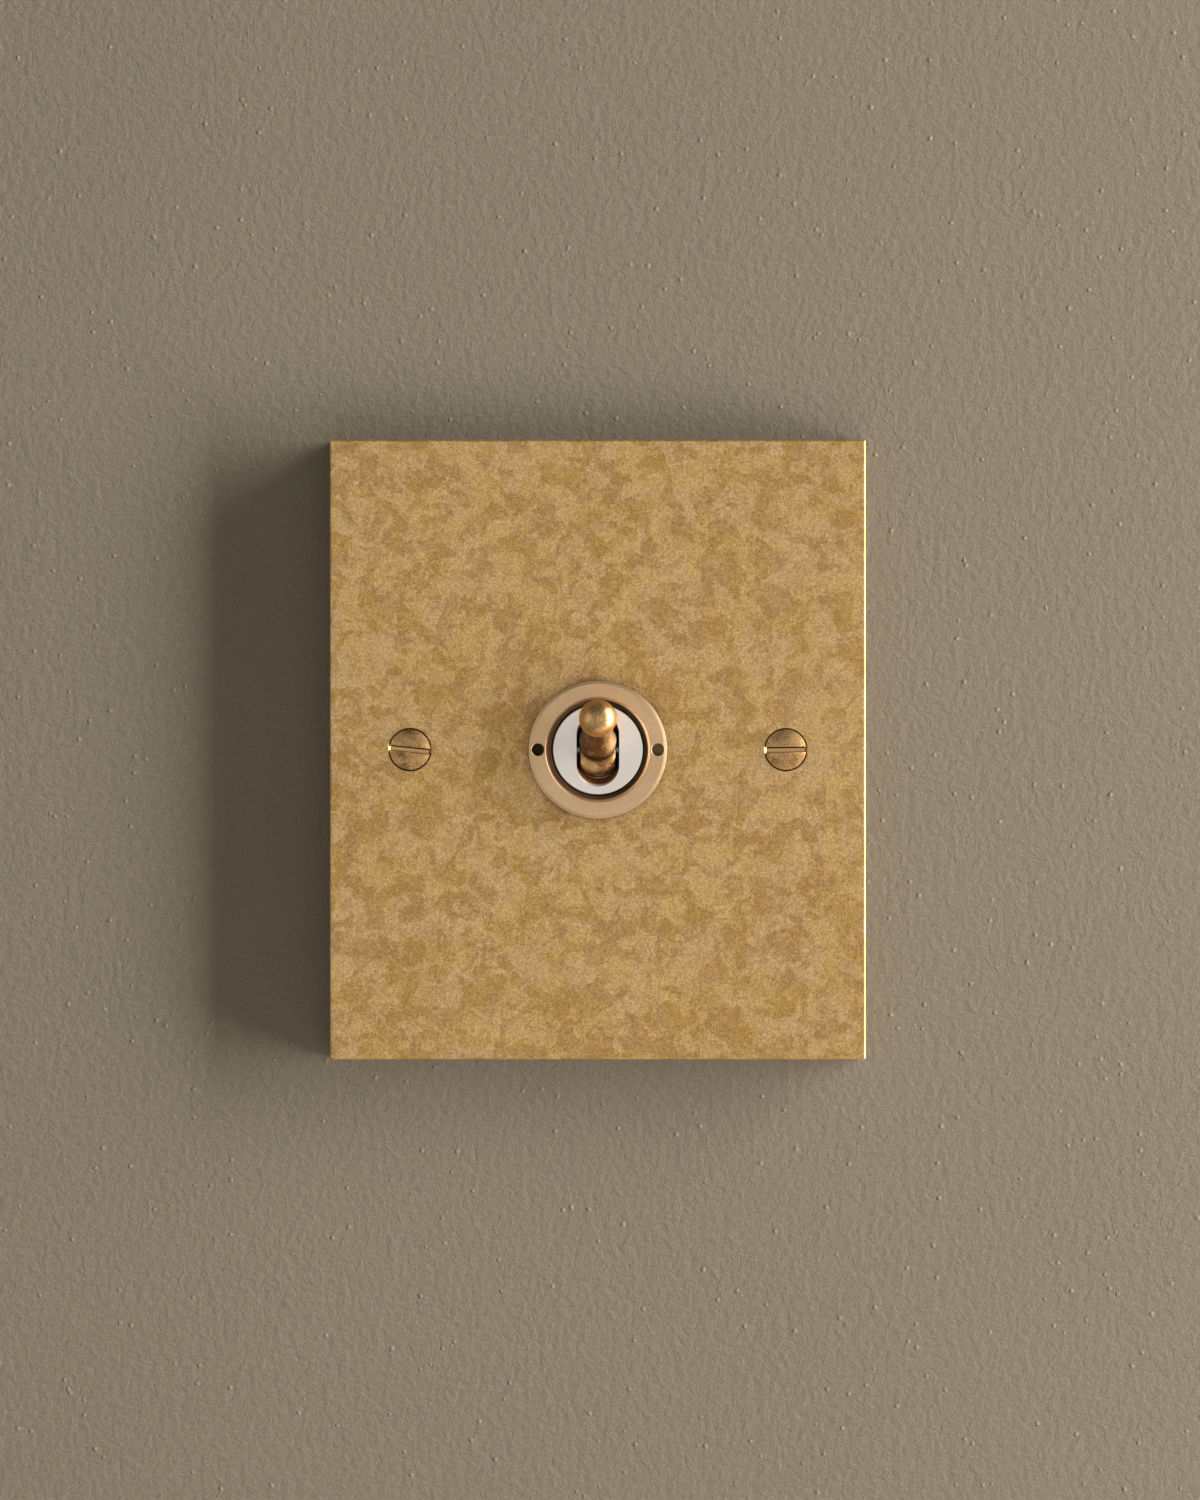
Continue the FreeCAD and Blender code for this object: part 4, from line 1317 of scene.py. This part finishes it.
@dataclass
class Lamp:
    """A soft rectangular lamp aimed at a point, in metres and watts."""

    name: str
    place: Point
    aim: Point
    size: tuple[float, float]
    power: float
    colour: Colour = (1.0, 1.0, 1.0)

    def hang(self) -> None:
        """Add the lamp."""
        light = bpy.data.lights.new(self.name, "AREA")
        light.shape = "RECTANGLE"
        light.size, light.size_y = self.size
        light.energy = self.power
        light.color = self.colour
        lamp = stand(self.name, light)
        lamp.visible_camera = False
        lamp.location = self.place
        aim = Vector(self.aim) - Vector(self.place)
        lamp.rotation_euler = aim.to_track_quat("-Z", "Y").to_euler()


@dataclass
class Room:
    """The wall the switch stands on, a pale floor, the lamps and the camera."""

    wall_size: float = 3.0
    wall_gap: float = 0.00004
    box_opening: Pair = (0.0427, 0.0495)
    floor_z: float = -1.2
    world_level: float = 0.03
    background_level: float = 0.48
    ceiling_shade: float = 0.8
    ceiling_band: Pair = (0.1, 0.9)
    world_colour: Colour = (1.0, 0.98, 0.96)
    frame_height: float = 0.2406
    lens: float = 100.0
    film: float = 36.0
    nearest: float = 0.01
    plate_face: float = -0.004
    aim_x: float = 0.00034
    aim_z: float = -0.00006
    lamps: tuple[Lamp, ...] = (
        Lamp(
            "key_right", (1.5, -0.235, 0.22), (0.0, 0.0, 0.22), (0.195, 2.0), 63.0,
            (1.0, 0.97, 0.93),
        ),
        Lamp("left_soft", (-1.2, -0.75, 0.1), ORIGIN, (0.8, 1.2), 0.86, (1.0, 0.98, 0.95)),
        Lamp("front_small", (-0.03, -1.4, 0.03), ORIGIN, (0.08, 0.08), 0.25, (1.0, 0.98, 0.95)),
        Lamp("rear_soft", (0.3, 1.1, 0.6), (0.0, 0.02, 0.0), (0.9, 0.9), 12.0),
    )

    def build(self) -> None:
        """Set the stage."""
        wall = self._grid(self.wall_size)
        for offset, axis in zip(self.box_opening, (Vector(X_AXIS), Vector(Y_AXIS))):
            for side in (-1, 1):
                bmesh.ops.bisect_plane(
                    wall, geom=list(wall.verts) + list(wall.edges) + list(wall.faces),
                    plane_co=axis * offset * side, plane_no=axis,
                )
        opening = [
            face for face in wall.faces
            if all(abs(c) < half for c, half in zip(face.calc_center_median(), self.box_opening))
        ]
        bmesh.ops.delete(wall, geom=opening, context="FACES")
        upright = Matrix.Rotation(math.radians(90), 3, "X")
        bmesh.ops.rotate(wall, verts=wall.verts, cent=ORIGIN, matrix=upright)
        self._sheet("wall", wall, (0.0, self.wall_gap, 0.0), WallPaint().material())
        floor = self._grid(self.wall_size)
        self._sheet("floor", floor, (0.0, 0.0, self.floor_z), FloorPaint().material())
        for lamp in self.lamps:
            lamp.hang()
        self._fill_world()
        self._set_camera()
        LOG.info("room: %d lamps", len(self.lamps))

    @staticmethod
    def _grid(size: float) -> bmesh.types.BMesh:
        """Return a square sheet, flat about the origin."""
        bm = bmesh.new()
        bmesh.ops.create_grid(bm, x_segments=1, y_segments=1, size=size / 2)
        return bm

    @staticmethod
    def _sheet(
        name: str, bm: bmesh.types.BMesh, place: Point, material: bpy.types.Material
    ) -> None:
        """Add a sheet of the stage at its place."""
        bmesh.ops.translate(bm, verts=bm.verts, vec=place)
        mesh = bpy.data.meshes.new(name)
        bm.to_mesh(mesh)
        bm.free()
        mesh.materials.append(material)
        sheet = stand(name, mesh)

    def _fill_world(self) -> None:
        """Light the room, dimmer from above, before a paler background."""
        bench = WorldBench("room_light")
        camera, glossy, clear = (
            bench.node("ShaderNodeLightPath", {}, out=f"Is {ray} Ray")
            for ray in ("Camera", "Glossy", "Transmission")
        )
        shown = camera.math("MAXIMUM", glossy).math("MAXIMUM", clear)
        level = self.world_level + shown * (self.background_level - self.world_level)
        up = bench.split(bench.node("ShaderNodeTexCoord", {}, out="Generated"))[2]
        level = level * (1.0 - up.rise(*self.ceiling_band) * self.ceiling_shade)
        colour = (*self.world_colour, 1.0)
        bpy.context.scene.world = bench.finish(
            bench.node("ShaderNodeBackground", {}, colour, level)
        )

    def _set_camera(self) -> None:
        """Look straight at the plate, framed as the photograph is."""
        data = bpy.data.cameras.new("camera")
        data.lens = self.lens
        data.sensor_fit = "VERTICAL"
        data.sensor_height = self.film
        data.clip_start = self.nearest
        camera = stand("camera", data)
        distance = self.frame_height * self.lens / self.film
        camera.location = (self.aim_x, self.plate_face - distance, self.aim_z)
        camera.rotation_euler = (math.radians(90), 0.0, 0.0)
        bpy.context.scene.camera = camera
        bpy.context.scene.view_settings.view_transform = "Standard"


def main() -> None:
    """Build the pieces in order and set the stage."""
    logging.basicConfig(level=logging.INFO, format="%(message)s")
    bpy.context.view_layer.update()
    finishes = Finishes()
    for part in (FacePlate(), FixingScrews(), BezelRing(), Barrel(), DollyLever(), PlungerSpring()):
        part.build(finishes)
    Mechanism().dress(finishes)
    Room().build()


if __name__ == "__main__":
    main()
